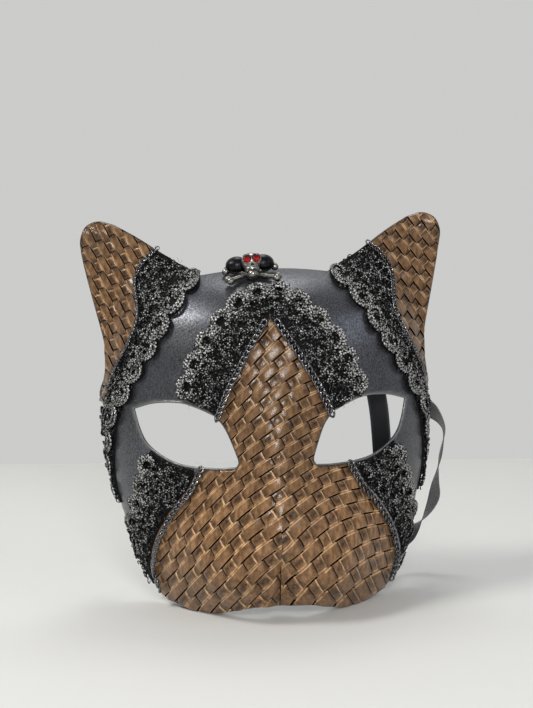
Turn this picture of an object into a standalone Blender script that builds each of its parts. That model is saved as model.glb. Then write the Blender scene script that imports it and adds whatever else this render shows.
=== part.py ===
"""Cat half-mask: a moulded shell dressed with woven leather, lace, chain, a charm and a ribbon.

Metres, +Z up. The mask faces -Y and stands upright, as it is worn. The origin lies at eye height on the
middle plane, in the plane of the shell's back rim.
"""

import math

import bmesh
import bpy
import numpy as np
from mathutils import Matrix, Vector

# Wall, layers and the clearances between them
SHELL_WALL = 0.0024
LEATHER = 0.0012
LACE = 0.0020
GAP = 0.0003

# Face dome: half width and depth of the elliptical cross-section at each height, as (height, size)
DOME_HALF_WIDTH = [
    (-0.090, 0.0540), (-0.075, 0.0620), (-0.060, 0.0675), (-0.045, 0.0715), (-0.025, 0.0765),
    (0.000, 0.0795), (0.015, 0.0795), (0.030, 0.0780), (0.045, 0.0765), (0.062, 0.0720),
    (0.076, 0.0650), (0.088, 0.0560), (0.120, 0.0500),
]
DOME_DEPTH = [
    (-0.090, 0.0500), (-0.070, 0.0600), (-0.040, 0.0660), (-0.010, 0.0660), (0.020, 0.0650),
    (0.045, 0.0605), (0.058, 0.0545), (0.066, 0.0470), (0.071, 0.0395), (0.075, 0.0310),
    (0.078, 0.0220), (0.082, 0.0080), (0.120, 0.0020),
]

# Nose ridge, muzzle, its two lobes and the crease between them, added to the dome
NOSE_RISE, NOSE_SPREAD = 0.009, 0.015
NOSE_TOP, NOSE_FULL, NOSE_TIP, NOSE_END = 0.040, -0.015, -0.036, -0.058
MUZZLE_RISE, MUZZLE_HEIGHT = 0.014, -0.054
MUZZLE_SPREAD_X, MUZZLE_SPREAD_Z = 0.042, 0.024
LOBE_RISE, LOBE_X, LOBE_HEIGHT = 0.006, 0.024, -0.058
LOBE_SPREAD_X, LOBE_SPREAD_Z = 0.014, 0.015
CREASE_DEPTH, CREASE_SPREAD = 0.004, 0.0045
CREASE_TOP, CREASE_FULL = -0.042, -0.054

# Ear plates: a sloping plane that blends into the dome and fades out below the temple and over the brow
EAR_DEPTH, EAR_X, EAR_HEIGHT = 0.020, 0.060, 0.060
EAR_SLOPE_X, EAR_SLOPE_Z = 0.30, 0.10
EAR_FADE_HEIGHT, EAR_FADE_X = 0.034, 0.048
EAR_FADE, EAR_FADE_POWER = 8.0, 1.5
EAR_BLEND = 0.006

# Grid of the moulded surface
GRID_HALF_WIDTH, GRID_TURN = 0.096, 1.2
GRID_BOTTOM, GRID_TOP = -0.090, 0.112
COLUMNS, ROWS = 44, 34

# Right halves of the outlines in front view, as (x, z) from the middle plane outwards
BROW_EDGE = [(0.0, 0.0768), (0.012, 0.0765), (0.022, 0.0756), (0.030, 0.0745)]
EAR_INNER_EDGE = [(0.030, 0.0745), (0.040, 0.0800), (0.050, 0.0870), (0.061, 0.0945), (0.071, 0.1003)]
EAR_TIP_EDGE = [(0.071, 0.1003), (0.0785, 0.1020), (0.0845, 0.0995), (0.0873, 0.0935), (0.0874, 0.0880)]
EAR_OUTER_EDGE = [(0.0874, 0.0880), (0.0858, 0.0790), (0.0825, 0.0650), (0.0790, 0.0510), (0.0772, 0.0430)]
TEMPLE_EDGE = [(0.0772, 0.0430), (0.0775, 0.0300), (0.0830, 0.0150), (0.0835, -0.0200), (0.0825, -0.0560)]
JAW_EDGE = [(0.0825, -0.0560), (0.0720, -0.0705), (0.0600, -0.0755), (0.0510, -0.0774), (0.0440, -0.0786)]
CHIN_EDGE = [(0.0440, -0.0786), (0.0370, -0.0800), (0.0280, -0.0792), (0.0200, -0.0765), (0.0110, -0.0740),
             (0.0, -0.0748)]
EYE_TOP = [(0.0635, 0.0142), (0.0535, 0.0172), (0.0420, 0.0175), (0.0340, 0.0152), (0.0260, 0.0115)]
EYE_INNER = [(0.0260, 0.0115), (0.0215, 0.0055), (0.0173, -0.0050), (0.0162, -0.0092), (0.0175, -0.0118)]
EYE_BOTTOM = [(0.0175, -0.0118), (0.0250, -0.0124), (0.0345, -0.0122)]
EYE_OUTER = [(0.0345, -0.0122), (0.0435, -0.0106), (0.0510, -0.0072), (0.0575, -0.0020), (0.0610, 0.0048),
             (0.0635, 0.0142)]
LEATHER_POINT = [(0.0, 0.0540), (0.0113, 0.0375), (0.0200, 0.0235), (0.0260, 0.0115)]
LEATHER_CHEEK = [(0.0345, -0.0122), (0.0392, -0.0212), (0.0455, -0.0289), (0.0505, -0.0367), (0.0550, -0.0460),
                 (0.0576, -0.0560), (0.0580, -0.0630), (0.0560, -0.0712), (0.0510, -0.0774)]
EAR_SEAM = [(0.0500, 0.0870), (0.0560, 0.0820), (0.0602, 0.0750), (0.0604, 0.0690), (0.0592, 0.0600),
            (0.0600, 0.0530), (0.0645, 0.0430), (0.0705, 0.0330), (0.0750, 0.0235), (0.0785, 0.0130)]
TEMPLE_TRIM = [(0.0785, 0.0130), (0.0830, 0.0060), (0.0835, -0.0200), (0.0745, -0.0345)]
EAR_LACE_FACE = [(0.0300, 0.0745), (0.0345, 0.0670), (0.0405, 0.0615), (0.0445, 0.0545), (0.0490, 0.0455),
                 (0.0540, 0.0385), (0.0595, 0.0300), (0.0640, 0.0225), (0.0685, 0.0140)]
EAR_LACE_FLANK = [(0.0685, 0.0140), (0.0715, 0.0070), (0.0735, -0.0040), (0.0748, -0.0140), (0.0745, -0.0240),
                  (0.0720, -0.0335)]
FOREHEAD_LACE_FACE = [(0.0, 0.0675), (0.0075, 0.0670), (0.0150, 0.0615), (0.0222, 0.0555), (0.0275, 0.0490),
                      (0.0330, 0.0410), (0.0368, 0.0335), (0.0400, 0.0260), (0.0415, 0.0195)]
CHEEK_LACE_FACE = [(0.0575, -0.0060), (0.0600, -0.0140), (0.0630, -0.0240), (0.0655, -0.0340),
                   (0.0685, -0.0440)]
CHEEK_LACE_JAW = [(0.0685, -0.0440), (0.0760, -0.0490), (0.0760, -0.0640), (0.0640, -0.0735),
                  (0.0572, -0.0722)]

# Rim of the jaw in side view, as (y, z) from the temple down to the chin
JAW_RIM = [(0.0030, -0.0335), (-0.0080, -0.0372), (-0.0145, -0.0425), (-0.0172, -0.0495), (-0.0184, -0.0570),
           (-0.0208, -0.0640), (-0.0250, -0.0710), (-0.0312, -0.0775), (-0.0400, -0.0840)]

# Scallops along the lace edges
SCALLOP_DEPTH, SCALLOP_ROUNDNESS = 0.0018, 0.7
FOREHEAD_SCALLOPS, EAR_SCALLOPS, CHEEK_SCALLOPS = 6, 6, 4
LACE_SETBACK = 0.0008

# Stretches of the eye and leather edges that the lace follows, as points of their smooth runs
FOREHEAD_BY_EYE = slice(5, -2)
CHEEK_BY_EYE = slice(1, -12)
CHEEK_BY_LEATHER = slice(7, -2)

# Chains, as beaded cords: link pitch, half width and the waist between two links
LINK_PITCH = 0.0040
LINK_RADIUS = 0.0013
EAR_LINK_RADIUS = 0.0009
LINK_WAIST = 0.7
CHAIN_INSET = 0.0016
CHAIN_CLEARANCE = 0.0005

# Charm: on the brow above the lace, left of the middle and a little turned
CHARM_X, CHARM_ABOVE_LACE = -0.0065, 0.0050
CHARM_TURN = math.radians(5.0)
CHARM_LIFT = -0.0001
SKULL_LEAN = math.radians(48.0)
CRANIUM = (0.0046, 0.0044, 0.0038)
CRANIUM_UP = 0.0022
UPPER_JAW = (0.0036, 0.0030, 0.0030)
UPPER_JAW_UP = -0.0022
CHIN = (0.0027, 0.0023, 0.0026)
CHIN_UP, CHIN_OUT = -0.0052, 0.0006
SOCKET_X, SOCKET_UP, SOCKET_OUT = 0.0022, 0.0029, 0.0034
GEM_RADIUS, GEM_HALF_HEIGHT = 0.0018, 0.0013
GEM_SIDES = 8
GEM_RINGS = [(0.60, 0.70), (0.92, 0.20), (0.30, -0.85)]
BONE_HALF_LENGTH, BONE_RADIUS = 0.0125, 0.0010
KNOB_RADIUS, KNOB_SPLIT = 0.0015, 0.0011
BONE_ANGLE = math.radians(27.0)
BONE_STEP = 0.0005
BOW_LOBE = (0.0056, 0.0047, 0.0034)
BOW_LOBE_X, BOW_UP = 0.0061, 0.0060
BOW_KNOT = (0.0026, 0.0036, 0.0030)

# Ribbon and the patches that hold its two ends inside the temples
RIBBON_WIDTH, RIBBON_THICKNESS = 0.0095, 0.0005
RIBBON_STATIONS = 64
PATCH_THICKNESS = 0.0010
PATCH_LENGTH, PATCH_HEIGHT = 0.018, 0.018
PATCH_FRONT, PATCH_MIDDLE = -0.026, 0.008
PATCH_INNER_X = 0.055

# Route of the ribbon's middle line and the direction across it, one pair for each point
RIBBON_ROUTE = [
    ((0.0722, -0.0165, 0.0080), (0.0, 0.0, 1.0)),
    ((0.0740, -0.0060, 0.0074), (0.0, 0.0, 1.0)),
    ((0.0775, 0.0034, 0.0060), (0.0, 0.1, 1.0)),
    ((0.0845, 0.0055, 0.0030), (0.3, 0.5, 0.8)),
    ((0.0898, 0.0058, -0.0030), (0.4, 0.9, 0.3)),
    ((0.0915, 0.0058, -0.0095), (0.3, 0.9, 0.0)),
    ((0.0892, 0.0060, -0.0210), (0.1, 1.0, 0.0)),
    ((0.0865, 0.0055, -0.0330), (0.5, 0.8, 0.0)),
    ((0.0845, 0.0040, -0.0430), (0.8, 0.6, 0.2)),
    ((0.0790, 0.0044, -0.0530), (0.7, 0.6, 0.5)),
    ((0.0700, 0.0032, -0.0605), (0.5, 0.6, 0.7)),
    ((0.0590, -0.0045, -0.0640), (0.9, 0.4, 0.3)),
    ((0.0545, -0.0155, -0.0540), (1.0, 0.2, 0.1)),
    ((0.0540, -0.0265, -0.0310), (1.0, 0.2, 0.1)),
    ((0.0528, -0.0330, -0.0100), (1.0, 0.2, 0.1)),
    ((0.0506, -0.0380, 0.0120), (1.0, 0.2, 0.1)),
    ((0.0460, -0.0410, 0.0300), (1.0, 0.3, 0.3)),
    ((0.0370, -0.0425, 0.0455), (0.8, 0.3, 0.6)),
    ((0.0200, -0.0445, 0.0540), (0.3, 0.4, 1.0)),
    ((0.0000, -0.0455, 0.0560), (0.0, 0.4, 1.0)),
    ((-0.0200, -0.0445, 0.0540), (-0.2, 0.4, 1.0)),
    ((-0.0400, -0.0405, 0.0470), (-0.4, 0.3, 1.0)),
    ((-0.0560, -0.0335, 0.0350), (-0.5, 0.3, 1.0)),
    ((-0.0665, -0.0255, 0.0220), (-0.4, 0.5, 0.9)),
    ((-0.0706, -0.0205, 0.0140), (-0.34, 0.7, 0.7)),
    ((-0.0722, -0.0165, 0.0080), (-0.27, 0.8, 0.6)),
]

# Plane in front of the mask where the cutters start
CUTTER_FRONT = -0.126
SIDES = {"left": -1, "right": 1}


def clear_scene():
    for old in list(bpy.data.objects):
        bpy.data.objects.remove(old, do_unlink=True)


def new_collection(name):
    collection = bpy.data.collections.new(name)
    bpy.context.scene.collection.children.link(collection)
    return collection


def new_material(name, colour, roughness, metallic):
    material = bpy.data.materials.new(name)
    material.use_nodes = True
    shader = material.node_tree.nodes["Principled BSDF"]
    shader.inputs["Base Color"].default_value = (*colour, 1.0)
    shader.inputs["Roughness"].default_value = roughness
    shader.inputs["Metallic"].default_value = metallic
    return material


def through(stations, at):
    """Smooth value at each height, through the (height, size) stations."""
    heights, sizes = np.array(stations).T
    slopes = np.gradient(sizes, heights)
    at = np.clip(at, heights[0], heights[-1])
    i = np.clip(np.searchsorted(heights, at) - 1, 0, len(heights) - 2)
    span = heights[i + 1] - heights[i]
    t = (at - heights[i]) / span
    start = (1 + 2 * t) * (1 - t) ** 2 * sizes[i] + t * (1 - t) ** 2 * span * slopes[i]
    end = t * t * (3 - 2 * t) * sizes[i + 1] + t * t * (t - 1) * span * slopes[i + 1]
    return start + end


def ease(value, low, high):
    t = np.clip((value - low) / (high - low), 0.0, 1.0)
    return t * t * (3 - 2 * t)


def bump(value, middle, spread):
    return np.exp(-(((value - middle) / spread) ** 2))


def mask_depth(x, z):
    """How far the shell's outer surface lies in front of the rim plane."""
    side = np.abs(x)
    inside = 1 - (side / through(DOME_HALF_WIDTH, z)) ** 2
    dome = through(DOME_DEPTH, z) * np.sign(inside) * np.sqrt(np.abs(inside))
    nose = NOSE_RISE * bump(x, 0.0, NOSE_SPREAD)
    nose = nose * ease(-z, -NOSE_TOP, -NOSE_FULL) * (1 - ease(-z, -NOSE_TIP, -NOSE_END))
    muzzle = MUZZLE_RISE * bump(x, 0.0, MUZZLE_SPREAD_X) * bump(z, MUZZLE_HEIGHT, MUZZLE_SPREAD_Z)
    lobes = LOBE_RISE * bump(side, LOBE_X, LOBE_SPREAD_X) * bump(z, LOBE_HEIGHT, LOBE_SPREAD_Z)
    crease = CREASE_DEPTH * bump(x, 0.0, CREASE_SPREAD) * ease(-z, -CREASE_TOP, -CREASE_FULL)
    face = dome + nose + muzzle + lobes - crease
    ear = EAR_DEPTH - EAR_SLOPE_X * (side - EAR_X) - EAR_SLOPE_Z * (z - EAR_HEIGHT)
    ear = ear - EAR_FADE * np.clip(EAR_FADE_HEIGHT - z, 0.0, None) ** EAR_FADE_POWER
    ear = ear - EAR_FADE * np.clip(EAR_FADE_X - side, 0.0, None) ** EAR_FADE_POWER
    return (face + ear + np.sqrt((face - ear) ** 2 + EAR_BLEND**2)) / 2


def mask_normal(x, z):
    """Outward direction of the surface."""
    step = 0.0002
    across = (mask_depth(x + step, z) - mask_depth(x - step, z)) / (2 * step)
    upward = (mask_depth(x, z + step) - mask_depth(x, z - step)) / (2 * step)
    normal = np.stack([-across, -np.ones_like(across), -upward], -1)
    return normal / np.linalg.norm(normal, axis=-1, keepdims=True)


def on_mask(x, z, lift):
    """Points at a height above the shell's outer surface."""
    x = np.asarray(x, float)
    z = np.asarray(z, float)
    return np.stack([x, -mask_depth(x, z), z], -1) + lift * mask_normal(x, z)


def over_mask(line, lift):
    """Points at a height above the surface that lie on a flat line in front view."""
    foot = line
    for _ in range(6):
        foot = line - lift * mask_normal(foot[:, 0], foot[:, 1])[:, [0, 2]]
    return on_mask(foot[:, 0], foot[:, 1], lift)


def curve_through(points, steps=5):
    """Points along a smooth open curve through the given ones."""
    points = np.array(points, float)
    ends = np.concatenate([[2 * points[0] - points[1]], points, [2 * points[-1] - points[-2]]])
    found = []
    for a, b, c, d in zip(ends, ends[1:], ends[2:], ends[3:]):
        for t in np.arange(steps) / steps:
            found.append(0.5 * (2 * b + (c - a) * t + (2 * a - 5 * b + 4 * c - d) * t**2
                                + (3 * b - a - 3 * c + d) * t**3))
    return np.array([*found, points[-1]])


def outline(*runs):
    """One closed outline from runs that meet at corners."""
    return np.concatenate([curve_through(run)[:-1] for run in runs])


def spaced(line, count, size=None):
    """That many points, evenly spaced along a line, whose first size columns are the places."""
    steps = np.linalg.norm(np.diff(line[:, :size], axis=0), axis=1)
    run = np.concatenate([[0.0], np.cumsum(steps)])
    at = np.linspace(0.0, run[-1], count)
    return np.stack([np.interp(at, run, line[:, k]) for k in range(line.shape[1])], -1)


def left_of(line):
    """Unit directions square to a flat line, to the left of its run."""
    along = np.gradient(line, axis=0)
    square = np.stack([-along[:, 1], along[:, 0]], -1)
    return square / np.linalg.norm(square, axis=1, keepdims=True)


def scalloped(points, count, outward):
    """A lace edge with that many round scallops; outward is 1 for the left of its run and -1 for the right."""
    line = spaced(curve_through(points), 8 * count + 1)
    swing = np.abs(np.sin(np.linspace(0.0, math.pi * count, len(line)))) ** SCALLOP_ROUNDNESS
    return line + left_of(line) * (outward * SCALLOP_DEPTH * swing)[:, None]


def inset(points, distance):
    """A smooth run moved to the left of its own direction."""
    line = curve_through(points)
    return line + left_of(line) * distance


def mesh_object(name, mesh, collection, material=None):
    thing = bpy.data.objects.new(name, mesh)
    collection.objects.link(thing)
    if material is not None:
        mesh.materials.append(material)
    return thing


def as_cutter(thing):
    thing.hide_render = True
    thing.display_type = "WIRE"
    return thing


def extruded(name, points, depth, place):
    """A cutter with a flat outline, extruded evenly to both sides and then put in place."""
    curve = bpy.data.curves.new(name, "CURVE")
    curve.dimensions = "2D"
    curve.fill_mode = "BOTH"
    curve.extrude = depth / 2
    spline = curve.splines.new("POLY")
    spline.points.add(len(points) - 1)
    for point, (u, v) in zip(spline.points, points):
        point.co = (u, v, 0.0, 1.0)
    spline.use_cyclic_u = True
    holder = bpy.data.objects.new(name, curve)
    CUTTERS.objects.link(holder)
    mesh = bpy.data.meshes.new_from_object(holder.evaluated_get(bpy.context.evaluated_depsgraph_get()))
    bpy.data.objects.remove(holder, do_unlink=True)
    mesh.transform(place)
    solid = bmesh.new()
    solid.from_mesh(mesh)
    bmesh.ops.remove_doubles(solid, verts=solid.verts, dist=1e-6)
    bmesh.ops.recalc_face_normals(solid, faces=solid.faces)
    solid.to_mesh(mesh)
    solid.free()
    return as_cutter(mesh_object(name, mesh, CUTTERS))


def prism(name, points, side=1, back=0.0):
    """A cutter with this outline in front view, from far in front of the mask to the plane y = back."""
    place = Matrix.Translation((0.0, (CUTTER_FRONT + back) / 2, 0.0)) @ Matrix.Rotation(math.pi / 2, 4, "X")
    return extruded(name, [(side * x, z) for x, z in points], back - CUTTER_FRONT, place)


def jaw_cutter(name, setback):
    """A cutter behind the jaw's rim, moved forward by the setback."""
    rim = curve_through(JAW_RIM) - np.array([setback, 0.0])
    corner = (JAW_RIM[0][0], JAW_RIM[-1][1])
    sideways = Matrix.Rotation(math.pi / 2, 4, "Z") @ Matrix.Rotation(math.pi / 2, 4, "X")
    return extruded(name, [*rim, corner], 2 * GRID_HALF_WIDTH, sideways)


def cut(thing, operation, cutter):
    boolean = thing.modifiers.new(f"{operation.lower()}_{cutter.name}", "BOOLEAN")
    boolean.operation = operation
    boolean.object = cutter
    return thing


def moulded(name, lift, thickness, material, keep, remove=()):
    """A layer that follows the mask from a lift: outwards by its thickness or, if that is negative, inwards."""
    solid = bmesh.new()
    bmesh.ops.create_grid(solid, x_segments=COLUMNS, y_segments=ROWS, size=1.0)
    flat = np.array([vertex.co[:2] for vertex in solid.verts])
    x = GRID_HALF_WIDTH * np.sin(flat[:, 0] * GRID_TURN) / math.sin(GRID_TURN)
    z = GRID_BOTTOM + (flat[:, 1] + 1) / 2 * (GRID_TOP - GRID_BOTTOM)
    bmesh.ops.triangulate(solid, faces=solid.faces, quad_method="FIXED")
    for vertex, place in zip(solid.verts, on_mask(x, z, lift)):
        vertex.co = place
    mesh = bpy.data.meshes.new(name)
    solid.to_mesh(mesh)
    solid.free()
    layer = mesh_object(name, mesh, PARTS, material)
    wall = layer.modifiers.new("wall", "SOLIDIFY")
    wall.thickness = abs(thickness)
    wall.offset = 1.0 if thickness > 0 else -1.0
    cut(layer, "INTERSECT", keep)
    for cutter in remove:
        cut(layer, "DIFFERENCE", cutter)
    return layer


def mirrored(half):
    """A whole outline from its right half, which starts and ends on the middle plane."""
    other = half[::-1] * np.array([-1.0, 1.0])
    return np.concatenate([half, other[1:-1]])


def make_shell(material):
    half = np.concatenate([
        outline(BROW_EDGE, EAR_INNER_EDGE, EAR_TIP_EDGE, EAR_OUTER_EDGE, TEMPLE_EDGE, JAW_EDGE),
        curve_through(CHIN_EDGE),
    ])
    keep = prism("shell_outline", mirrored(half))
    eyes = [prism(f"eye_{side}", outline(EYE_TOP, EYE_INNER, EYE_BOTTOM, EYE_OUTER), sign)
            for side, sign in SIDES.items()]
    moulded("mask_shell", 0.0, -SHELL_WALL, material, keep, [*eyes, jaw_cutter("jaw_rim", 0.0)])


def make_leather(material):
    half = np.concatenate([
        outline(LEATHER_POINT, EYE_INNER, EYE_BOTTOM, LEATHER_CHEEK, JAW_EDGE[3:]),
        curve_through(CHIN_EDGE),
    ])
    moulded("face_leather_panel", GAP, LEATHER, material, prism("face_leather_outline", mirrored(half)))
    for side, sign in SIDES.items():
        ear = np.concatenate([
            outline(EAR_INNER_EDGE[2:], EAR_TIP_EDGE, EAR_OUTER_EDGE, TEMPLE_EDGE[:3],
                    [TEMPLE_EDGE[2], EAR_SEAM[-1]]),
            curve_through(EAR_SEAM[::-1])[:-1],
        ])
        moulded(f"ear_leather_{side}", GAP, LEATHER, material, prism(f"ear_leather_outline_{side}", ear, sign))


def make_lace(material):
    jaw = jaw_cutter("lace_jaw_rim", LACE_SETBACK)
    for side, sign in SIDES.items():
        forehead = np.concatenate([
            scalloped(FOREHEAD_LACE_FACE, FOREHEAD_SCALLOPS, 1) + np.array([GAP, 0.0]),
            inset(EYE_TOP[2:], -LACE_SETBACK)[FOREHEAD_BY_EYE],
            inset(LEATHER_POINT[::-1], -GAP),
        ])
        ear = np.concatenate([
            inset(EAR_SEAM, -GAP),
            curve_through(TEMPLE_TRIM),
            curve_through(EAR_LACE_FLANK[::-1]),
            scalloped(EAR_LACE_FACE[::-1], EAR_SCALLOPS, 1),
            curve_through(EAR_INNER_EDGE[:3])[1:-1],
        ])
        cheek = np.concatenate([
            scalloped(CHEEK_LACE_FACE, CHEEK_SCALLOPS, 1),
            curve_through(CHEEK_LACE_JAW)[1:],
            inset(LEATHER_CHEEK[::-1], -GAP)[CHEEK_BY_LEATHER],
            inset(EYE_OUTER, -LACE_SETBACK)[CHEEK_BY_EYE],
        ])
        for place, points in (("forehead", forehead), ("ear", ear), ("cheek", cheek)):
            keep = prism(f"{place}_lace_outline_{side}", points, sign, -LACE_SETBACK)
            moulded(f"{place}_lace_{side}", GAP, LACE, material, keep, [jaw])


def make_chain(name, points, side, radius, inward, material):
    """A beaded cord on the leather, beside the edge that the points follow."""
    line = inset(points, inward)
    line = over_mask(line[line[:, 0] > radius + GAP], GAP + LEATHER + CHAIN_CLEARANCE + radius)
    length = np.linalg.norm(np.diff(line, axis=0), axis=1).sum()
    places = spaced(line, 2 * round(length / LINK_PITCH) + 1)
    curve = bpy.data.curves.new(name, "CURVE")
    curve.dimensions = "3D"
    curve.bevel_depth = radius
    curve.bevel_resolution = 1
    curve.use_fill_caps = True
    spline = curve.splines.new("POLY")
    spline.points.add(len(places) - 1)
    for i, (point, (x, y, z)) in enumerate(zip(spline.points, places)):
        point.co = (side * x, y, z, 1.0)
        point.radius = 1.0 if i % 2 else LINK_WAIST
    chain = bpy.data.objects.new(name, curve)
    PARTS.objects.link(chain)
    curve.materials.append(material)


def make_chains(material):
    for side, sign in SIDES.items():
        make_chain(f"forehead_chain_{side}", LEATHER_POINT, sign, LINK_RADIUS, -CHAIN_INSET, material)
        make_chain(f"cheek_chain_{side}", LEATHER_CHEEK[:-1], sign, LINK_RADIUS, -CHAIN_INSET, material)
        make_chain(f"ear_chain_{side}", EAR_SEAM[:-1], sign, EAR_LINK_RADIUS, CHAIN_INSET, material)


def ball(name, radii, place, segments=12, rings=8):
    solid = bmesh.new()
    bmesh.ops.create_uvsphere(solid, u_segments=segments, v_segments=rings, radius=1.0)
    mesh = bpy.data.meshes.new(name)
    solid.to_mesh(mesh)
    solid.free()
    mesh.transform(place @ Matrix.Diagonal((*radii, 1.0)))
    return as_cutter(mesh_object(name, mesh, CUTTERS))


def rod(name, start, end, radius):
    solid = bmesh.new()
    along = end - start
    bmesh.ops.create_cone(solid, cap_ends=True, segments=10, radius1=radius, radius2=radius, depth=along.length)
    mesh = bpy.data.meshes.new(name)
    solid.to_mesh(mesh)
    solid.free()
    turn = along.to_track_quat("Z", "Y").to_matrix().to_4x4()
    mesh.transform(Matrix.Translation((start + end) / 2) @ turn)
    return as_cutter(mesh_object(name, mesh, CUTTERS))


def charm_frame():
    """Placement of the charm: local X across, Y up the brow, Z away from the surface."""
    height = FOREHEAD_LACE_FACE[0][1] + CHARM_ABOVE_LACE
    place = Vector(on_mask(CHARM_X, height, CHARM_LIFT))
    out = Vector(mask_normal(np.asarray(CHARM_X), np.asarray(height)))
    across = Vector((1.0, 0.0, 0.0))
    across = (across - across.dot(out) * out).normalized()
    up = out.cross(across)
    frame = Matrix((across, up, out)).transposed().to_4x4()
    return Matrix.Translation(place) @ frame @ Matrix.Rotation(CHARM_TURN, 4, "Z")


def make_charm(metal, stone):
    """Skull, crossbones and bow in one casting, and a stone in each eye socket."""
    base = charm_frame()
    seat = max(CHIN) - CHIN_UP * math.sin(SKULL_LEAN)
    skull = base @ Matrix.Translation((0.0, 0.0, seat)) @ Matrix.Rotation(SKULL_LEAN, 4, "X")
    pieces = [
        ball("upper_jaw", UPPER_JAW, skull @ Matrix.Translation((0.0, UPPER_JAW_UP, 0.0))),
        ball("chin", CHIN, skull @ Matrix.Translation((0.0, CHIN_UP, CHIN_OUT))),
        ball("bow_knot", BOW_KNOT, base @ Matrix.Translation((0.0, BOW_UP, BOW_KNOT[2]))),
    ]
    for side, sign in SIDES.items():
        lobe = Matrix.Translation((sign * BOW_LOBE_X, BOW_UP, BOW_LOBE[2]))
        pieces.append(ball(f"bow_lobe_{side}", BOW_LOBE, base @ lobe))
        reach = Vector((math.cos(BONE_ANGLE), sign * math.sin(BONE_ANGLE), 0.0)) * BONE_HALF_LENGTH
        lift = Vector((0.0, 0.0, KNOB_RADIUS + max(sign, 0) * BONE_STEP))
        pieces.append(rod(f"bone_{side}", base @ (lift - reach), base @ (lift + reach), BONE_RADIUS))
        for end in (-1, 1):
            for split in (-1, 1):
                across = Vector((-reach.y, reach.x, 0.0)).normalized() * KNOB_SPLIT * split
                knob = base @ Matrix.Translation(lift + reach * end + across)
                pieces.append(ball(f"knob_{side}_{end}_{split}", (KNOB_RADIUS,) * 3, knob, 10, 6))
    cranium = ball("charm_casting", CRANIUM, skull @ Matrix.Translation((0.0, CRANIUM_UP, 0.0)))
    CUTTERS.objects.unlink(cranium)
    PARTS.objects.link(cranium)
    cranium.hide_render = False
    cranium.display_type = "TEXTURED"
    cranium.data.materials.append(metal)
    for piece in pieces:
        cut(cranium, "UNION", piece)
    for side, sign in SIDES.items():
        socket = skull @ Matrix.Translation((sign * SOCKET_X, SOCKET_UP, SOCKET_OUT))
        radii = (GEM_RADIUS + GAP, GEM_RADIUS + GAP, GEM_HALF_HEIGHT + GAP)
        cut(cranium, "DIFFERENCE", ball(f"socket_{side}", radii, socket))
        make_gem(f"charm_gem_{side}", socket, stone)


def make_gem(name, seat, material):
    """A round stone: a flat-topped crown over a pointed base, inside its socket's ball."""
    solid = bmesh.new()
    turn = [2 * math.pi * k / GEM_SIDES for k in range(GEM_SIDES)]
    rings = []
    for share, level in GEM_RINGS:
        radius = GEM_RADIUS * share
        height = GEM_HALF_HEIGHT * level
        rings.append([solid.verts.new((radius * math.cos(a), radius * math.sin(a), height)) for a in turn])
    for upper, lower in zip(rings, rings[1:]):
        for k in range(GEM_SIDES):
            n = (k + 1) % GEM_SIDES
            solid.faces.new((upper[k], lower[k], lower[n], upper[n]))
    solid.faces.new(rings[0])
    solid.faces.new(rings[-1][::-1])
    bmesh.ops.recalc_face_normals(solid, faces=solid.faces)
    mesh = bpy.data.meshes.new(name)
    solid.to_mesh(mesh)
    solid.free()
    mesh.transform(seat)
    mesh_object(name, mesh, PARTS, material)


def make_patches(material):
    for side, sign in SIDES.items():
        solid = bmesh.new()
        bmesh.ops.create_cube(solid, size=1.0)
        mesh = bpy.data.meshes.new(f"patch_outline_{side}")
        solid.to_mesh(mesh)
        solid.free()
        width = GRID_HALF_WIDTH - PATCH_INNER_X
        middle = (sign * (PATCH_INNER_X + width / 2), PATCH_FRONT + PATCH_LENGTH / 2, PATCH_MIDDLE)
        size = Matrix.Diagonal((width, PATCH_LENGTH, PATCH_HEIGHT, 1.0))
        mesh.transform(Matrix.Translation(middle) @ size)
        keep = as_cutter(mesh_object(f"patch_outline_{side}", mesh, CUTTERS))
        moulded(f"tie_patch_{side}", -SHELL_WALL - GAP, -PATCH_THICKNESS, material, keep)


def make_ribbon(material):
    """A flat band along its route, twisting as the directions across it turn."""
    line = curve_through([place for place, _ in RIBBON_ROUTE], 8)
    turn = curve_through([across for _, across in RIBBON_ROUTE], 8)
    band = spaced(np.concatenate([line, turn], axis=1), RIBBON_STATIONS, 3)
    line, turn = band[:, :3], band[:, 3:]
    along = np.gradient(line, axis=0)
    along /= np.linalg.norm(along, axis=1, keepdims=True)
    turn = turn - (turn * along).sum(1, keepdims=True) * along
    turn *= RIBBON_WIDTH / 2 / np.linalg.norm(turn, axis=1, keepdims=True)
    solid = bmesh.new()
    edges = [[solid.verts.new(place) for place in edge] for edge in (line - turn, line + turn)]
    for a, b, c, d in zip(edges[0], edges[0][1:], edges[1][1:], edges[1]):
        solid.faces.new((a, b, c, d))
    mesh = bpy.data.meshes.new("tie_ribbon")
    solid.to_mesh(mesh)
    solid.free()
    ribbon = mesh_object("tie_ribbon", mesh, PARTS, material)
    wall = ribbon.modifiers.new("thickness", "SOLIDIFY")
    wall.thickness = RIBBON_THICKNESS
    wall.offset = 0.0


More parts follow.
